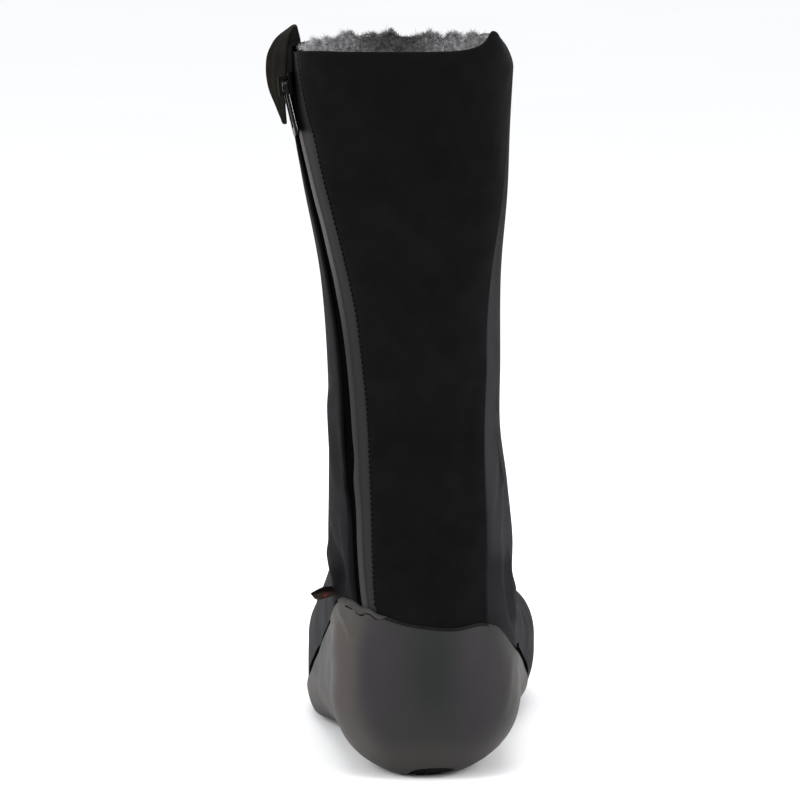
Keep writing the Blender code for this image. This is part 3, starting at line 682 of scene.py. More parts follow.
# Painted light: paler side cloth where it catches the side light, on the medial side and the lateral forefoot
side_cloth.paint("painted_light", (0.0220, 0.0220, 0.0240))
# Painted shade: darker on the flap's lip, in the hollow beside the tag and in the medial seam's groove
side_cloth.paint("painted_shade", (0.0014, 0.0014, 0.0016))

fleece = Finish("fleece", (0.22, 0.215, 0.22), 0.95, 0.1)
fleece.mottle(2.4, 0.40, 0.62, (0.50, 0.49, 0.50), 4.0)
fleece.mottle(4.5, 0.56, 0.68, (0.05, 0.048, 0.05), 2.0)
fleece.paint("shade", (0.045, 0.042, 0.043), 0.75)
fleece.set("Sheen Weight", 0.12)
fleece.bump(fleece.noise(0.8, 5.0), 0.5, 0.8)

pile = Finish("fleece_pile", (0.30, 0.295, 0.30), 0.9, 0.1)
pile.mottle(4.0, 0.40, 0.66, (0.55, 0.54, 0.55), 2.0)
pile.paint("shade", (0.06, 0.056, 0.058), 0.8)
pile.set("Sheen Weight", 0.08)

sole_cloth = Finish("sole_cloth", (0.004, 0.004, 0.0042), 0.66, 0.03)
sole_cloth.mottle(18.0, 0.45, 0.75, (0.009, 0.009, 0.009))
sole_cloth.bump(sole_cloth.cells(1.3, 0.25), 0.18, 0.7)
sole_cloth.rough(0.5, 0.72, 7.0)

cover_cloth = Finish("reflective_cloth", (0.0165, 0.0162, 0.0160), 0.55, 0.15)
# Painted light: warm light on the sides and along the bottom, then green and purple sheen on the darker
# middle
cover_cloth.paint("painted_warm_light", (0.0412, 0.0366, 0.0332))
cover_cloth.paint("painted_green_sheen", (0.0082, 0.0108, 0.0084))
cover_cloth.paint("painted_purple_sheen", (0.0150, 0.0118, 0.0152))
# Dark edge seam, partly the real seam and partly painted shade in the gap under the cover's edge
cover_cloth.paint("seam_and_shade", (0.0012, 0.0012, 0.0012))
cover_cloth.rough(0.54, 0.58, 6.0)
cover_cloth.set("Specular IOR Level", cover_cloth.stored("dull", 0.15, 0.085))
cover_cloth.bump(cover_cloth.cells(0.5, 0.2), 0.03, 0.5)
cover_cloth.bump(cover_cloth.noise(9.0, 2.0), 0.05, 0.2)

tape_cloth = Finish("zip_tape", (0.0100, 0.0094, 0.0098), 0.6, 0.12)
tape_cloth.paint("lip", (0.0600, 0.0560, 0.0570))
# Painted shade: the tape darkened, and its specular taken away, where it lies in shadow under the guard and
# pull or under the flap's lip
tape_cloth.paint("painted_shade", (0.0012, 0.0012, 0.0012))
tape_cloth.set("Specular IOR Level", tape_cloth.stored("painted_shade", 0.12, 0.0))
tape_cloth.bump(tape_cloth.noise(0.9, 2.0), 0.05, 0.5)

thread = Finish("thread", (0.0014, 0.0014, 0.0015), 0.7, 0.06)
thread.mottle(1.1, 0.4, 0.7, (0.0030, 0.0030, 0.0032))
thread.bump(thread.noise(0.25, 1.0), 0.05, 0.8)

# Near-black without specular: for the binding, partly a real seam and partly painted shade, and for the
# painted shadow under the cover's hem
seam_and_shadow_black = Finish("seam_and_shadow_black", (0.0010, 0.0010, 0.0010), 0.9, 0.0)
seam_and_shadow_black.mottle(1.4, 0.4, 0.7, (0.0024, 0.0024, 0.0024))
seam_and_shadow_black.bump(seam_and_shadow_black.noise(0.4), 0.05, 0.6)

teeth_plastic = Finish("zip_teeth", (0.0012, 0.0012, 0.0012), 0.6, 0.0)
teeth_plastic.mottle(1.2, 0.45, 0.7, (0.0022, 0.0022, 0.0022))
teeth_plastic.bump(teeth_plastic.ribs(2.6), 0.2, 0.8)

slider_paint = Finish("slider_paint", (0.0014, 0.0014, 0.0014), 0.6, 0.02)
slider_paint.mottle(1.6, 0.55, 0.75, (0.0030, 0.0030, 0.0030))
on_crown = slider_paint.span(slider_paint.along(SLIDER_OUT), CROWN_START, CROWN_END)
slider_paint.tint(on_crown, (0.0056, 0.0052, 0.0040))
slider_paint.bump(slider_paint.noise(0.6), 0.02, 0.5)

brushed = (1.0, 1.0, 0.1)
tab_metal = Finish("tab_metal", (0.012, 0.012, 0.012), 0.32, 0.5, 1.0)
tab_metal.mottle(2.0, 0.5, 0.8, (0.022, 0.022, 0.022))
tab_metal.rough(0.24, 0.42, 0.7, 2.0, brushed)
tab_metal.bump(tab_metal.noise(0.4, 2.0, brushed), 0.02, 0.4)

# Bright metal for the painted highlight line along the pull tab's edge
edge_highlight_metal = Finish("edge_highlight_metal", (0.36, 0.35, 0.34), 0.28, 0.5, 1.0)
edge_highlight_metal.mottle(1.5, 0.45, 0.7, (0.10, 0.10, 0.10))
edge_highlight_metal.bump(edge_highlight_metal.noise(0.3), 0.01, 0.5)

guard_cloth = Finish("guard_cloth", (0.0050, 0.0046, 0.0034), 0.85, 0.04)
guard_cloth.mottle(6.0, 0.45, 0.75, (0.0082, 0.0076, 0.0058))
guard_cloth.set("Sheen Weight", 0.003)
guard_cloth.bump(guard_cloth.cells(0.6, 0.3), 0.08, 0.7)

tag_weave = Finish("tag_weave", (0.0230, 0.0150, 0.0125), 0.85, 0.1)
tag_weave.paint("red", (0.0900, 0.0130, 0.0130))
# Painted glints: sparse pale specks on the weave
tag_weave.mottle(0.9, 0.60, 0.70, (0.1100, 0.0800, 0.0700))
# Painted shade: upper half near black, for the shaded inside of a folded loop
tag_weave.paint("loop_shade", (0.0038, 0.0008, 0.0008))
tag_weave.bump(tag_weave.cells(0.35, 0.2), 0.06, 0.8)


# Upper: cloth from the zip's front edge round the toe to the medial seam, then the rear panel to the zip

def spread(start, end, count, crowd):
    """Turns between two edges, closer together near both, without the edges themselves."""
    share = np.linspace(0.0, 1.0, count + 2)[1:-1]
    share = share - crowd * np.sin(2.0 * np.pi * share) / (2.0 * np.pi)
    return start[:, None] + (end - start)[:, None] * share[None, :]


def slit_open(heights):
    """0 where the slit is sewn shut under the heel cover and 1 where it is open."""
    return ease((heights - SLIT_CLOSED) / (SLIT_OPEN - SLIT_CLOSED))


def slit_edge(heights, edge, across):
    """Turn of a line beside an edge of the slit."""
    return beside(ZIP_LINE, heights, edge * slit_open(heights) + across)


bands = [np.linspace(low, high, count, endpoint=False) for low, high, count in UPPER_BANDS]
levels = np.concatenate([*bands, np.linspace(RIM_START, COLLAR_HEIGHT, RIM_ROWS)])
front_lip, rear_edge = lookup(levels, FRONT_LIP), lookup(levels, REAR_EDGE)
lip_turns = [slit_edge(levels, front_lip, across) for across in LIP_PROFILE[:, 0]]
seam_turns = [beside(SEAM_LINE, levels, across) + 1.0 for across in SEAM_PROFILE[:, 0]]
edge_turns = [slit_edge(levels, rear_edge, across) + 1.0 for across in REAR_PROFILE[:, 0]]
side_turns = spread(lip_turns[-1], seam_turns[0], SIDE_COUNT, 0.55)
rear_turns = spread(seam_turns[-1], edge_turns[0], REAR_COUNT, 0.3)
turns = np.column_stack([*lip_turns, side_turns, *seam_turns, rear_turns, *edge_turns])
heights = levels[:, None]

seam_start = len(LIP_PROFILE) + SIDE_COUNT
seam_columns = slice(seam_start, seam_start + len(SEAM_PROFILE))
drops = np.zeros(turns.shape)
drops[:, :len(LIP_PROFILE)] = slit_open(levels)[:, None] * LIP_PROFILE[:, 1]
drops[:, seam_columns] = SEAM_PROFILE[:, 1]
drops[:, -len(REAR_PROFILE):] = slit_open(levels)[:, None] * REAR_PROFILE[:, 1]
lift = drops + cloth_lift(turns, heights)

# Rim: the cloth rolls over its edge to the inside
rim = []
for angle in np.linspace(0.0, math.pi, RIM_STEPS)[1:]:
    inward = RIM_RADIUS * (1.0 - math.cos(angle))
    rim.append(collar(turns[-1], COLLAR_HEIGHT + RIM_RADIUS * math.sin(angle), lift[-1] - inward))
rim.append(collar(turns[-1], RIM_HEM, lift[-1] - 2.0 * RIM_RADIUS))
foot = [lifted(turns[0], FEATHER - below, lift[0] - inward) for below, inward in FOOT_TUCK]
cloth = np.concatenate([np.stack(foot), collar(turns, heights, lift), np.stack(rim)])
upper = grid_object("upper_cloth", cloth)
side_cloth.on(upper)
rear_cloth.on(upper)
slots = np.zeros((cloth.shape[0] - 1, cloth.shape[1] - 1), np.int32)
slots[:, seam_start + np.sum(SEAM_PROFILE[:, 0] < 0.0):] = 1
upper.data.polygons.foreach_set("material_index", slots.ravel())

# Painted shade on the flap's lip, in the hollow beside the tag and in the medial seam's groove, and painted
# light where the cloth on both sides catches the side light
painted_shade = 0.85 * bell(turns - 0.116, 0.026) * bell(heights - 80.0, 11.0)
on_lip = np.flatnonzero(LIP_PROFILE[:, 0] < LIP_WIDTH)
lip_shade = 0.7 + 0.3 * ease((heights - 103.0) / 14.0)
painted_shade[:, on_lip] = np.maximum(painted_shade[:, on_lip], lip_shade)
painted_shade[:, seam_columns] += 0.8 * bell(SEAM_PROFILE[:, 0], 1.3)
painted_light = 0.95 * bell(wrap(turns) + 0.118, 0.034) * ease((heights - 84.0) / 14.0)
painted_light = painted_light + bell(turns - 0.290, 0.07) * bell(heights - 42.0, 22.0)
for name, values in (("painted_shade", painted_shade), ("painted_light", painted_light)):
    at_foot = np.repeat(values[:1], len(foot), axis=0)
    at_rim = np.repeat(values[-1:], len(rim), axis=0)
    mark(upper, name, np.concatenate([at_foot, values, at_rim]))
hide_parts("upper")
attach(upper, SHOE)


# Lining: fleece from the rim down to the sole

def fleece_lumps(turn, height):
    """How far the fleece stands in from the cloth's inside."""
    place = surface(turn, height)
    return 0.9 + 0.9 * noise(place, 6.0, 11) + 0.5 * noise(place, 2.6, 12)


def fleece_rise(turn):
    """How far the fleece stands up past its own edge at the rim."""
    ring = np.stack([np.cos(2 * np.pi * turn), np.sin(2 * np.pi * turn), 0.0 * turn], axis=-1) * 50.0
    front = ease((np.abs(wrap(turn)) - 0.26) / 0.1)
    lumps = 1.0 + 0.9 * noise(ring, 7.0, 13) + 0.6 * noise(ring, 3.0, 14)
    beside_zip = bell(wrap(turn) - 0.150, 0.020)
    return lumps * (0.2 + 1.7 * front) - 1.3 * (1.0 - front) + 3.2 * beside_zip


def fleece_shade(points):
    """Share of the darker fleece, on the front wall's lateral half and beside the zip's top."""
    front = bell(points[..., 0] + 13.0, 19.0) * ease((points[..., 1] - 40.0) / 20.0)
    beside_zip = 0.62 * ease((-45.0 - points[..., 0]) / 4.0) * ease((28.0 - points[..., 1]) / 10.0)
    return np.maximum(front, beside_zip)


def fleece_point(turn, height):
    """Point on the fleece's face, which rises and thins at the rim."""
    at_rim = ease((height - LINING_TOP) / LINING_TOP_REACH)
    depth = -LINING_DEPTH - fleece_lumps(turn, height) * (1.0 - 0.5 * at_rim)
    return collar(turn, height + fleece_rise(turn) * at_rim, depth)


def fibres(name, turn, height, lean_out, length, seed):
    """Joined bent fibres standing on the fleece."""
    draws = np.random.RandomState(seed)
    count = len(turn)
    root = fleece_point(turn, height)
    way = outward(turn, height) * lean_out[:, None] + np.array((0.0, 0.0, 0.55))
    way = unit(way + draws.normal(0.0, 0.5, (count, 3)))
    bend = draws.normal(0.0, 0.35, (count, 3))
    side = unit(np.cross(way, draws.normal(0.0, 1.0, (count, 3))))
    points = []
    for share, width in FIBRE_WIDTHS:
        middle = root + (way * share + bend * share * share) * length[:, None]
        points += [middle - side * width, middle + side * width]
    pattern = np.array(((0, 1, 3, 2), (2, 3, 5, 4)))
    faces = (np.arange(count)[:, None, None] * len(points) + pattern[None]).reshape(-1, 4)
    obj = mesh_object(name, np.stack(points, axis=1).reshape(-1, 3), faces.tolist())
    mark(obj, "shade", np.repeat(fleece_shade(root), len(points)))
    pile.on(obj)
    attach(obj, SHOE)


lining_levels = np.concatenate([
    np.linspace(COLLAR_HEIGHT - 0.4, LINING_BEND, 58, endpoint=False),
    np.linspace(LINING_BEND, LINING_FOOT, 60),
])
lining_turns = np.linspace(-0.5, 0.5, LINING_COLUMNS, endpoint=False)
lining_lip = (
    collar(lining_turns, COLLAR_HEIGHT - 2.5, -2.0),
    collar(lining_turns, COLLAR_HEIGHT - 0.8 + fleece_rise(lining_turns) * 0.7, -2.5),
)
lining_wall = fleece_point(*np.meshgrid(lining_turns, lining_levels))
lining_points = np.concatenate([np.stack(lining_lip), lining_wall])
lining = grid_object("lining", lining_points, ring=True)
mark(lining, "shade", fleece_shade(lining_points))
fleece.on(lining)
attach(lining, SHOE)

draws = np.random.RandomState(21)
pile_count = PILE_FRONT + PILE_ROUND
pile_turns = np.concatenate([draws.uniform(0.2, 0.8, PILE_FRONT), draws.uniform(-0.5, 0.5, PILE_ROUND)])
pile_heights = COLLAR_HEIGHT - PILE_REACH * draws.uniform(0.0, 1.0, pile_count) ** 1.8
pile_lengths = draws.uniform(0.7, 1.9, pile_count)
fibres("fleece_fibres", pile_turns, pile_heights, np.full(pile_count, -0.9), pile_lengths, 22)
rim_turns = draws.uniform(-0.5, 0.5, RIM_FIBRES)
rim_lengths = draws.uniform(0.8, 2.0, RIM_FIBRES)
sparse = (np.abs(rim_turns) < 0.25) & (draws.uniform(0.0, 1.0, RIM_FIBRES) < 0.6)
sparse |= np.abs(rim_turns + 0.11) < 0.07
sparse |= np.abs(rim_turns - 0.18) < 0.025
rim_turns, rim_lengths = rim_turns[~sparse], rim_lengths[~sparse]
rim_leans = draws.uniform(-0.5, 0.7, len(rim_turns))
fibres("rim_fibres", rim_turns, np.full(len(rim_turns), COLLAR_HEIGHT), rim_leans, rim_lengths, 23)

# Sole: a panel with a turned-up edge, open over the cleat

edge_levels = np.concatenate([np.linspace(0.0, 1.0, 5, endpoint=False), np.linspace(1.0, SOLE_EDGE, 8)])
stations = np.linspace(0.0, 0.5, SOLE_STATIONS)
below, above = [], []
for sign, order in ((1.0, edge_levels[::-1]), (-1.0, edge_levels)):
    for level in order:
        below.append(surface(sign * stations, level))
        above.append(lifted(sign * stations, level, -SOLE_THICKNESS))
edge_count = len(edge_levels)
for grid in (below, above):
    first, last = grid[edge_count - 1], grid[edge_count]
    grid[edge_count:edge_count] = [first + (last - first) * k / SOLE_SPANS for k in range(1, SOLE_SPANS)]
sole = shell_object("sole_panel", np.stack(below, axis=1), np.stack(above, axis=1))
sole_mesh = bmesh.new()
sole_mesh.from_mesh(sole.data)
bmesh.ops.remove_doubles(sole_mesh, verts=sole_mesh.verts, dist=0.01 * MM)
bmesh.ops.recalc_face_normals(sole_mesh, faces=sole_mesh.faces)
sole_mesh.to_mesh(sole.data)
sole_mesh.free()

opening = rounded_outline((CLEAT_X, CLEAT_Y), CLEAT_WIDTH, CLEAT_LENGTH, CLEAT_CORNER, 14)
count = len(opening)
cut_points = np.concatenate([np.column_stack([opening, np.full(count, z)]) for z in (-CLEAT_CUT, CLEAT_CUT)])
cut_faces = [(k, (k + 1) % count, (k + 1) % count + count, k + count) for k in range(count)]
cut_faces += [tuple(range(count))[::-1], tuple(range(count, 2 * count))]
cutter = mesh_object("cleat_cut", cut_points, cut_faces)
boolean = sole.modifiers.new("cleat_opening", "BOOLEAN")
boolean.object = cutter
boolean.solver = "EXACT"
cut = bpy.data.meshes.new_from_object(sole.evaluated_get(bpy.context.evaluated_depsgraph_get()))
sole.modifiers.clear()
sole.data = cut
bpy.data.objects.remove(cutter)
sole.data.shade_smooth()
sole.data.set_sharp_from_angle(angle=math.radians(40.0))
sole.data.materials.clear()
sole_cloth.on(sole)
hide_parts("sole")
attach(sole, SHOE)

inset_size = (CLEAT_WIDTH - 2.0 * HEM_INSET, CLEAT_LENGTH - 2.0 * HEM_INSET, CLEAT_CORNER - HEM_INSET)
hem_line = rounded_outline((CLEAT_X, CLEAT_Y), *inset_size, 24)
hem_along = unit(np.roll(hem_line, -1, axis=0) - np.roll(hem_line, 1, axis=0))
hem_outside = np.column_stack([hem_along[:, 1], -hem_along[:, 0]])
hem = []
for angle in np.linspace(0.0, 2.0 * math.pi, 20, endpoint=False):
    reach = HEM_INSET + HEM_HALF * math.cos(angle) * (0.6 + 0.4 * abs(math.sin(angle)))
    height = np.full(len(hem_line), HEM_MIDDLE + HEM_RISE * math.sin(angle))
    hem.append(np.column_stack([hem_line + hem_outside * reach, height]))
hem.append(hem[0])
hem_band = grid_object("cleat_hem", np.stack(hem), ring=True, flip=True)
thread.on(hem_band)
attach(hem_band, SHOE)


# Heel cover: a coated panel with a folded hem, standing on the cloth

def cover_top(turn):
    """Height of the cover's top edge, crumpled beside the zip."""
    return lookup(turn, COVER_EDGE) + 0.5 * np.sin(turn * 260.0) * bell(turn - 0.066, 0.03)


def cover_under(turn, height):
    """Underside of the cover above the smooth surface: it bridges the cloth's folds."""
    under = cloth_lift(turn, height)
    return np.where(under > 0.0, under, 0.6 * under) + COVER_GAP


def cover_lift(turn, height):
    """Face of the cover above the smooth surface."""
    to_edge = np.minimum(cover_top(turn) - height, height - lookup(turn, COVER_FOOT))
    to_edge = np.minimum(to_edge, END_RATE * (COVER_END - np.abs(turn)))
    rounded = rounding(to_edge, COVER_ROUNDING)
    own = relief(turn, height, COVER_FOLDS) + 0.1 * noise(surface(turn, height), 17.0, 31)
    own = COVER_THICKNESS * rounded + own * ease(to_edge / 2.0)
    return cover_under(turn, height) + np.maximum(own, 0.25 * rounded)


cover_turns = np.linspace(-COVER_END, COVER_END, COVER_COLUMNS)
shares = np.linspace(0.0, 1.0, COVER_ROWS)
shares = shares - 0.5 * np.sin(2.0 * np.pi * shares) / (2.0 * np.pi)
cover_low = lookup(cover_turns, COVER_FOOT)
cover_heights = cover_low + (cover_top(cover_turns) - cover_low)[None, :] * shares[:, None]
cover_face = lifted(cover_turns, cover_heights, cover_lift(cover_turns, cover_heights))
cover_back = lifted(cover_turns, cover_heights, cover_under(cover_turns, cover_heights) - 0.05)
for points in (cover_face, cover_back):
    points[..., 2] = np.maximum(points[..., 2], FLOOR_GAP)
cover = shell_object("heel_cover_cloth", cover_face, cover_back)

# Painted light on the coating by turn and height: warm light on the sides and along the bottom, green and
# purple sheen on a darker middle; duller sides; and along the side edges a dark seam with painted shade in
# the gap beside it
painted_green_sheen = bell(cover_turns + 0.0135, 0.030) * bell(cover_heights - 46.0, 22.0)
painted_purple_sheen = bell(cover_turns + 0.050, 0.032) * bell(cover_heights - 40.0, 26.0)
painted_purple_sheen = painted_purple_sheen + bell(cover_turns - 0.045, 0.030) * bell(cover_heights - 46.0, 24.0)
painted_warm_light = 0.62 * ease((-0.060 - cover_turns) / 0.05)
painted_warm_light = painted_warm_light + ease((cover_turns - 0.030) / 0.055) * (1.0 - 0.6 * ease((cover_turns - 0.095) / 0.05))
painted_warm_light = painted_warm_light * ease((cover_heights - 2.0) / 14.0) + 0.45 * bell(cover_heights - 10.0, 9.0)
painted_warm_light = painted_warm_light + 0.4 * bell(cover_turns - 0.13, 0.03) * ease((cover_heights - 52.0) / 10.0)
dull = ease((cover_turns - 0.092) / 0.03) * (1.0 - ease((cover_heights - 50.0) / 12.0))
dull = dull + 0.5 * ease((-0.105 - cover_turns) / 0.03)
# Dark along the side edges' top: partly the real seam, partly painted shade in the gap beside it
below_top = cover_top(cover_turns) - cover_heights
seam_and_shade = ease((np.abs(cover_turns) - 0.080) / 0.012) * (1.0 - ease((below_top - 1.1) / 0.6))
mark_both(cover, "painted_green_sheen", painted_green_sheen)
mark_both(cover, "painted_purple_sheen", painted_purple_sheen)
mark_both(cover, "painted_warm_light", np.clip(painted_warm_light, 0.0, 1.0))
mark_both(cover, "dull", np.maximum(dull, seam_and_shade))
mark_both(cover, "seam_and_shade", seam_and_shade)
cover_cloth.on(cover)
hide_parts("heel_cover")
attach(cover, SHOE)


# Crumpled hem on the cover's top edge beside the zip, and dark lines of painted shadow under it

def hem_width(turn):
    return smooth(-turn, -HEM_WIDTH[:, 0], HEM_WIDTH[:, 1])


hem_turns = np.linspace(HEM_WIDTH[0, 0], HEM_WIDTH[-1, 0], 160)
hem_shares = np.linspace(0.0, 1.0, 13)
hem_heights = cover_top(hem_turns)[None, :] + 0.25 - hem_width(hem_turns)[None, :] * hem_shares[:, None]
hem_base = cover_lift(hem_turns, hem_heights)
hem_round = np.sqrt(1.0 - np.abs(2.0 * hem_shares - 1.0) ** 3)[:, None]
hem_place = surface(hem_turns, hem_heights)
hem_full = 0.55 + 0.35 * noise(hem_place, 3.2, 33) + 0.2 * noise(hem_place, 1.7, 34)
cover_hem = shell_object(
    "cover_hem",
    lifted(hem_turns, hem_heights, hem_base + 0.02 + hem_full * hem_round)[::-1],
    lifted(hem_turns, hem_heights, hem_base - 0.08)[::-1],
)
for name, value in (("painted_green_sheen", 0.0), ("painted_purple_sheen", 0.0), ("painted_warm_light", 0.4), ("dull", 0.0), ("seam_and_shade", 0.0)):
    mark_both(cover_hem, name, np.full(hem_heights.shape, value))
cover_cloth.on(cover_hem)
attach(cover_hem, SHOE)

# Painted shadow: thin black tubes along the shadow under the hem's lower edge
hem_shadow_paths = []
for start, end in HEM_SHADOW_LINES:
    shadow_turns = np.linspace(start, end, 24)
    shadow_heights = cover_top(shadow_turns) + 0.1 - hem_width(shadow_turns)
    shadow_heights = shadow_heights + 0.25 * noise(surface(shadow_turns, shadow_heights), 1.6, 35)
    hem_shadow_paths.append(lifted(shadow_turns, shadow_heights, cover_lift(shadow_turns, shadow_heights) + 0.12))
for name, paths, radius in (("hem_shadow_line", hem_shadow_paths[:1], 0.42), ("hem_shadow_lines", hem_shadow_paths[1:], 0.22)):
    shadow_row = tubes(name, np.stack(paths), radius, 7)
    seam_and_shadow_black.on(shadow_row)
    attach(shadow_row, SHOE)

# Dark binding between the cover's sides and the cloth: partly a real seam, partly a dark sheet for the shade
# in the gap under the cover's edge
binding_shade_shares = np.linspace(0.0, 1.0, 7)
binding_shade_rise = (0.38 * np.sqrt(1.0 - binding_shade_shares ** 4))[:, None]
for name, start, end in BINDING_SHADES:
    binding_shade_turns = np.linspace(start, end, 200)
    forward = np.abs(binding_shade_turns)
    binding_shade_span = BINDING_SHADE_WIDTH + BINDING_SHADE_EXTRA * ease((forward - 0.15) / 0.06)
    binding_shade_span = binding_shade_span * ease((forward - BINDING_SHADE_START) / 0.04)
    binding_shade_span = BINDING_SHADE_LEAST + binding_shade_span * ease((BINDING_SHADE_END - forward) / 0.03)
    binding_shade_heights = cover_top(binding_shade_turns) - BINDING_SHADE_LAP + binding_shade_span * binding_shade_shares[:, None]
    binding_shade_base = cloth_lift(binding_shade_turns, binding_shade_heights)
    binding_shade = shell_object(
        name,
        lifted(binding_shade_turns, binding_shade_heights, binding_shade_base + 0.06 + binding_shade_rise),
        lifted(binding_shade_turns, binding_shade_heights, binding_shade_base - 0.15),
    )
    seam_and_shadow_black.on(binding_shade)
    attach(binding_shade, SHOE)

# Zip tapes: a lip beside the teeth and a flat part that runs under the cloth

tape_levels = np.linspace(ZIP_FOOT, COLLAR_HEIGHT - 0.3, TAPE_ROWS)
tape_bright = np.interp(tape_levels, TAPE_BRIGHT[:, 0], TAPE_BRIGHT[:, 1])


def tape(name, node, places, profile, painted_shade):
    """Tape through lines beside the zip, with the drops and lip shares of its profile, and painted shade
    where it lies in shadow.
    """
    turns = np.stack([beside(ZIP_LINE, tape_levels, place) for place in places], axis=1)
    heights = tape_levels[:, None]
    out = profile[:, 1] + 0.10 * noise(surface(turns, heights), 11.0, 41)
    inner = collar(turns, heights, np.minimum(out, -0.4) - TAPE_THICKNESS)
    obj = shell_object(name, collar(turns, heights, out), inner)
    mark_both(obj, "lip", profile[:, 2] * tape_bright[:, None])
    mark_both(obj, "painted_shade", painted_shade)
    tape_cloth.on(obj)
    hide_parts(node)
    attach(obj, SHOE)


kink = 0.55 * bell(tape_levels - 122.0, 6.0) - 0.75 * bell(tape_levels - 134.0, 7.0)
rear_places = [lookup(tape_levels, REAR_EDGE) + place for place in TAPE_EDGE[:, 0]]
rear_places += [place + kink * (1.0 if place > -3.0 else 0.5) for place in TAPE_LIP[:, 0]]
# Painted shade on the rear tape's top, under the guard and pull, deepest beside the zip's line
tape_shade = ease((tape_levels[:, None] - TAPE_SHADE_START) / TAPE_SHADE_FADE)
tape_shade = tape_shade * (0.52 + 0.48 * ease((np.stack(rear_places, axis=1) + 9.4) / 3.0))
tape("tape_rear", "zip_tape_rear", rear_places, np.concatenate([TAPE_EDGE, TAPE_LIP]), tape_shade)
# The front tape lies in shadow under the flap's lip and is painted dark all over as shade
tape("tape_front", "zip_tape_front", TAPE_FRONT[:, 0], TAPE_FRONT, np.ones((TAPE_ROWS, len(TAPE_FRONT))))

# Zip teeth, slider and pull tab keep their solids, the last two with rounded edges

for name, finish in (("zip_teeth", teeth_plastic), ("zip_slider", slider_paint), ("zip_pull_tab", tab_metal)):
    nodes[name].data.materials.clear()
    finish.on(nodes[name])
for name in ("zip_slider", "zip_pull_tab"):
    rounded_edges = nodes[name].modifiers.new("edges", "BEVEL")
    rounded_edges.width = METAL_EDGE * MM
    rounded_edges.segments = 3
    rounded_edges.limit_method = "ANGLE"

# Painted highlight on the pull tab's edge towards the heel: a thin bright metal line for the edge catching
# the light, in the tab's own axes
tab = nodes["zip_pull_tab"]
tab_points = np.array([tab.matrix_world @ vertex.co for vertex in tab.data.vertices]) / MM
tab_middle = (tab_points.max(axis=0) + tab_points.min(axis=0)) / 2.0
tab_axes = np.linalg.svd(tab_points - tab_points.mean(axis=0), full_matrices=False)[2]
tab_local = (tab_points - tab_middle) @ tab_axes.T
tab_half = (tab_local.max(axis=0) - tab_local.min(axis=0)) / 2.0
tab_centre = tab_middle + (tab_local.max(axis=0) + tab_local.min(axis=0)) / 2.0 @ tab_axes
tab_near = 1.0 if tab_axes[1][1] < 0.0 else -1.0
tab_along = np.linspace(-0.84, 0.50, TAB_EDGE_POINTS) * tab_half[0]
tab_across = np.full(TAB_EDGE_POINTS, tab_near * (tab_half[1] - TAB_EDGE_INSET))
tab_lines = []
for side in (-1.0, 1.0):
    tab_over = np.full(TAB_EDGE_POINTS, side * (tab_half[2] - TAB_EDGE_INSET))
    tab_lines.append(tab_centre + np.stack([tab_along, tab_across, tab_over], axis=1) @ tab_axes)
tab_line = max(tab_lines, key=lambda line: line[:, 0].mean())
tab_edge_highlight = tubes("pull_edge_highlight", tab_line[None], TAB_EDGE_RADIUS, 7)
edge_highlight_metal.on(tab_edge_highlight)
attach(tab_edge_highlight, PULL)

# Straight stitches beside the zip, and zigzag stitches along the heel cover

stitch_levels = np.linspace(72.0, 303.0, 500)
stitch_turns = beside(ZIP_LINE, stitch_levels, lookup(stitch_levels, REAR_EDGE) + STITCH_INSET)
stitch_run = run_of(collar(stitch_turns, stitch_levels, STITCH_DEPTH))
stitch_starts = np.arange(0.5, stitch_run[-1] - STITCH_PITCH, STITCH_PITCH)
stitch_paths = []
for share in np.linspace(0.0, 1.0, 5):
    at = stitch_starts + STITCH_LENGTH * share
    off = STITCH_DEPTH + STITCH_RISE * math.sin(math.pi * share)
    turn, height = np.interp(at, stitch_run, stitch_turns), np.interp(at, stitch_run, stitch_levels)
    stitch_paths.append(collar(turn, height, off))
stitches = tubes("zip_stitches", np.stack(stitch_paths, axis=1), STITCH_RADIUS)
thread.on(stitches)
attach(stitches, SHOE)

zigzag_turns = np.linspace(ZIGZAG_START, ZIGZAG_END, 700)
zigzag_tops = lookup(zigzag_turns, COVER_EDGE)
zigzag_run = run_of(surface(zigzag_turns, zigzag_tops))
zigzag = []
for n, start in enumerate(np.arange(0.4, zigzag_run[-1] - 1.0, ZIGZAG_PITCH)):
    path = []
    for share in np.linspace(0.0, 1.0, 5):
        turn = np.interp(start + share * ZIGZAG_LENGTH, zigzag_run, zigzag_turns)
        swing = share if n % 2 == 0 else 1.0 - share
        height = np.interp(-turn, -zigzag_turns, zigzag_tops) - 0.1 - ZIGZAG_DROP * swing
        path.append(lifted(turn, height, 1.15 + 0.2 * swing))
    zigzag.append(path)
zigzag_row = tubes("cover_stitches", np.array(zigzag), ZIGZAG_RADIUS)
thread.on(zigzag_row)
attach(zigzag_row, SHOE)

# Zip guard, folded over the collar

folds = np.arange(len(GUARD_FOLDS), dtype=float)
steps = np.linspace(0.0, folds[-1], GUARD_ROWS)
widths = np.linspace(0.0, 1.0, GUARD_COLUMNS)[None, :]
guard_rows = [smooth(steps, folds, column)[:, None] for column in GUARD_FOLDS.T]
guard_level, rear_off, front_off, rear_across, front_across = guard_rows
across = rear_across + (front_across - rear_across) * widths
fall = ease((steps[:, None] - 4.0) / 4.0)
off = rear_off + (front_off - rear_off) * widths
off = off + fall * (0.7 * bell(widths - 0.48, 0.13) - 0.5 * bell(widths - 0.72, 0.12))
guard_middle = lifted(beside(ZIP_LINE, guard_level, across), guard_level, off)
border = np.minimum(np.minimum(widths, 1.0 - widths) * 12.0, (folds[-1] - steps)[:, None] * 6.0)
half = GUARD_HALF * rounding(border, 0.5) + 0.16 * bell(border - 1.3, 0.7) + 0.02
guard = sheet_object("guard_cloth", guard_middle, half)
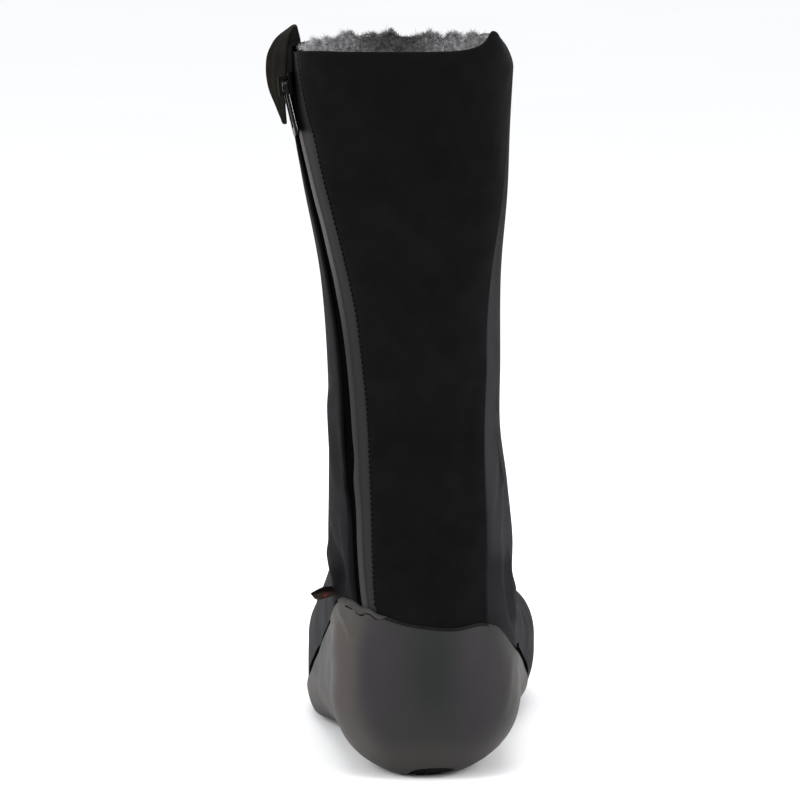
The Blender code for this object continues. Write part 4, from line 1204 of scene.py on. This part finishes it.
guard_cloth.on(guard)
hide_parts("zip_guard")
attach(guard, SHOE)

# Guard's sewn side: closes the fold between its two layers and down to the tape
side_steps = np.linspace(2.9, 8.8, 60)
side_heights = smooth(side_steps, folds, GUARD_FOLDS[:, 0])
side_offs = smooth(side_steps, folds, GUARD_FOLDS[:, 1])
fold_offs = np.interp(side_heights, (304.0, 309.2, 311.8), (-3.4, -2.7, -2.0))
inside_offs = np.where(side_heights > COLLAR_HEIGHT, fold_offs, -0.5)
side_share = np.linspace(0.0, 1.0, 8)
side_off = inside_offs[:, None] + (side_offs - inside_offs)[:, None] * side_share[None, :]
side_level = side_heights[:, None]
side_across = 4.7 + 0.9 * side_share ** 0.6
side_middle = lifted(beside(ZIP_LINE, side_level, side_across), side_level, side_off)
guard_side = sheet_object("guard_side", side_middle, SIDE_HALF)
thread.on(guard_side)
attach(guard_side, SHOE)

# Side tag: a short woven strip that curls at its tip

reach = np.linspace(0.0, 1.0, 40)
rise = np.linspace(-1.0, 1.0, 17)
tag_root = surface(TAG_TURN, TAG_HEIGHT)
tag_out = outward(TAG_TURN, TAG_HEIGHT)
tag_side = unit(np.cross((0.0, 0.0, 1.0), tag_out))
tag_up = np.cross(tag_out, tag_side)
half_width = lookup(reach, TAG_SHAPE, 1)
tag_middle = lookup(reach, TAG_SHAPE, 2)
tag_curl = 1.4 * np.sin(np.pi * reach)[:, None] * ease(rise)[None, :] + 0.4 * (reach ** 2)[:, None]
tag_points = (
    tag_root
    + tag_out * (reach * TAG_REACH - 0.4)[:, None, None]
    + tag_up * (tag_middle[:, None] + half_width[:, None] * rise[None, :])[..., None]
    + tag_side * tag_curl[..., None]
)
tag = sheet_object("tag_weave", tag_points, TAG_HALF)
# Painted shade on the upper half, for the inside of a folded loop, and the red patch below
tag_loop_shade = (rise[None, :] + 1.0) / 2.0 + 0.1 * np.cos(reach * 5.0)[:, None]
tag_red = bell(reach - 0.42, 0.16)[:, None] * bell(rise + 0.45, 0.35)[None, :]
mark_both(tag, "loop_shade", np.clip((tag_loop_shade - 0.35) / 0.30, 0.0, 1.0))
mark_both(tag, "red", np.clip((tag_red - 0.25) / 0.55, 0.0, 1.0))
tag_weave.on(tag)
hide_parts("side_tag")
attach(tag, SHOE)

# Floor, light and camera

corners = [(-FLOOR_HALF, -FLOOR_HALF, 0), (FLOOR_HALF, -FLOOR_HALF, 0)]
corners += [(FLOOR_HALF, FLOOR_HALF, 0), (-FLOOR_HALF, FLOOR_HALF, 0)]
floor = mesh_object("floor", corners, [(0, 1, 2, 3)])
paper = Finish("paper", (0.90, 0.90, 0.90), 0.95, 0.0)
paper.mottle(300.0, 0.3, 0.7, (0.91, 0.91, 0.91))
paper.on(floor)

world = bpy.data.worlds.new("studio")
world.use_nodes = True
world.node_tree.nodes["Background"].inputs["Color"].default_value = (0.97, 0.98, 1.0, 1.0)
world.node_tree.nodes["Background"].inputs["Strength"].default_value = 1.08
bpy.context.scene.world = world


def aim(obj, target):
    """Turn a light or camera towards a point and put it in the scene."""
    obj.rotation_euler = (Vector(target) - obj.location).to_track_quat("-Z", "Y").to_euler()
    bpy.context.scene.collection.objects.link(obj)


def area_light(name, place, target, size, power):
    light = bpy.data.lights.new(name, "AREA")
    light.shape = "RECTANGLE"
    light.size, light.size_y = size
    light.energy = power
    obj = bpy.data.objects.new(name, light)
    obj.location = place
    aim(obj, target)


area_light("left_light", (-1.3, -0.7, 0.8), (0.0, 0.0, 0.15), (0.7, 1.2), 18.0)
area_light("right_light", (1.3, -0.6, 0.7), (0.0, 0.0, 0.15), (0.7, 1.2), 16.0)
area_light("top_light", (0.0, 0.3, 1.6), (0.0, 0.1, 0.2), (1.2, 1.2), 14.0)

lens = bpy.data.cameras.new("camera")
lens.lens = 300.0
lens.sensor_width = 36.0
lens.shift_x = SHIFT_X / FRAME_PIXELS
lens.shift_y = SHIFT_Y / FRAME_PIXELS
lens.clip_end = 60.0
camera = bpy.data.objects.new("camera", lens)
elevation = math.radians(CAMERA_ELEVATION)
away = Vector((0.0, -math.cos(elevation), math.sin(elevation)))
camera.location = Vector(CAMERA_TARGET) + away * CAMERA_DISTANCE
aim(camera, CAMERA_TARGET)
bpy.context.scene.camera = camera
bpy.context.scene.view_settings.view_transform = "Standard"
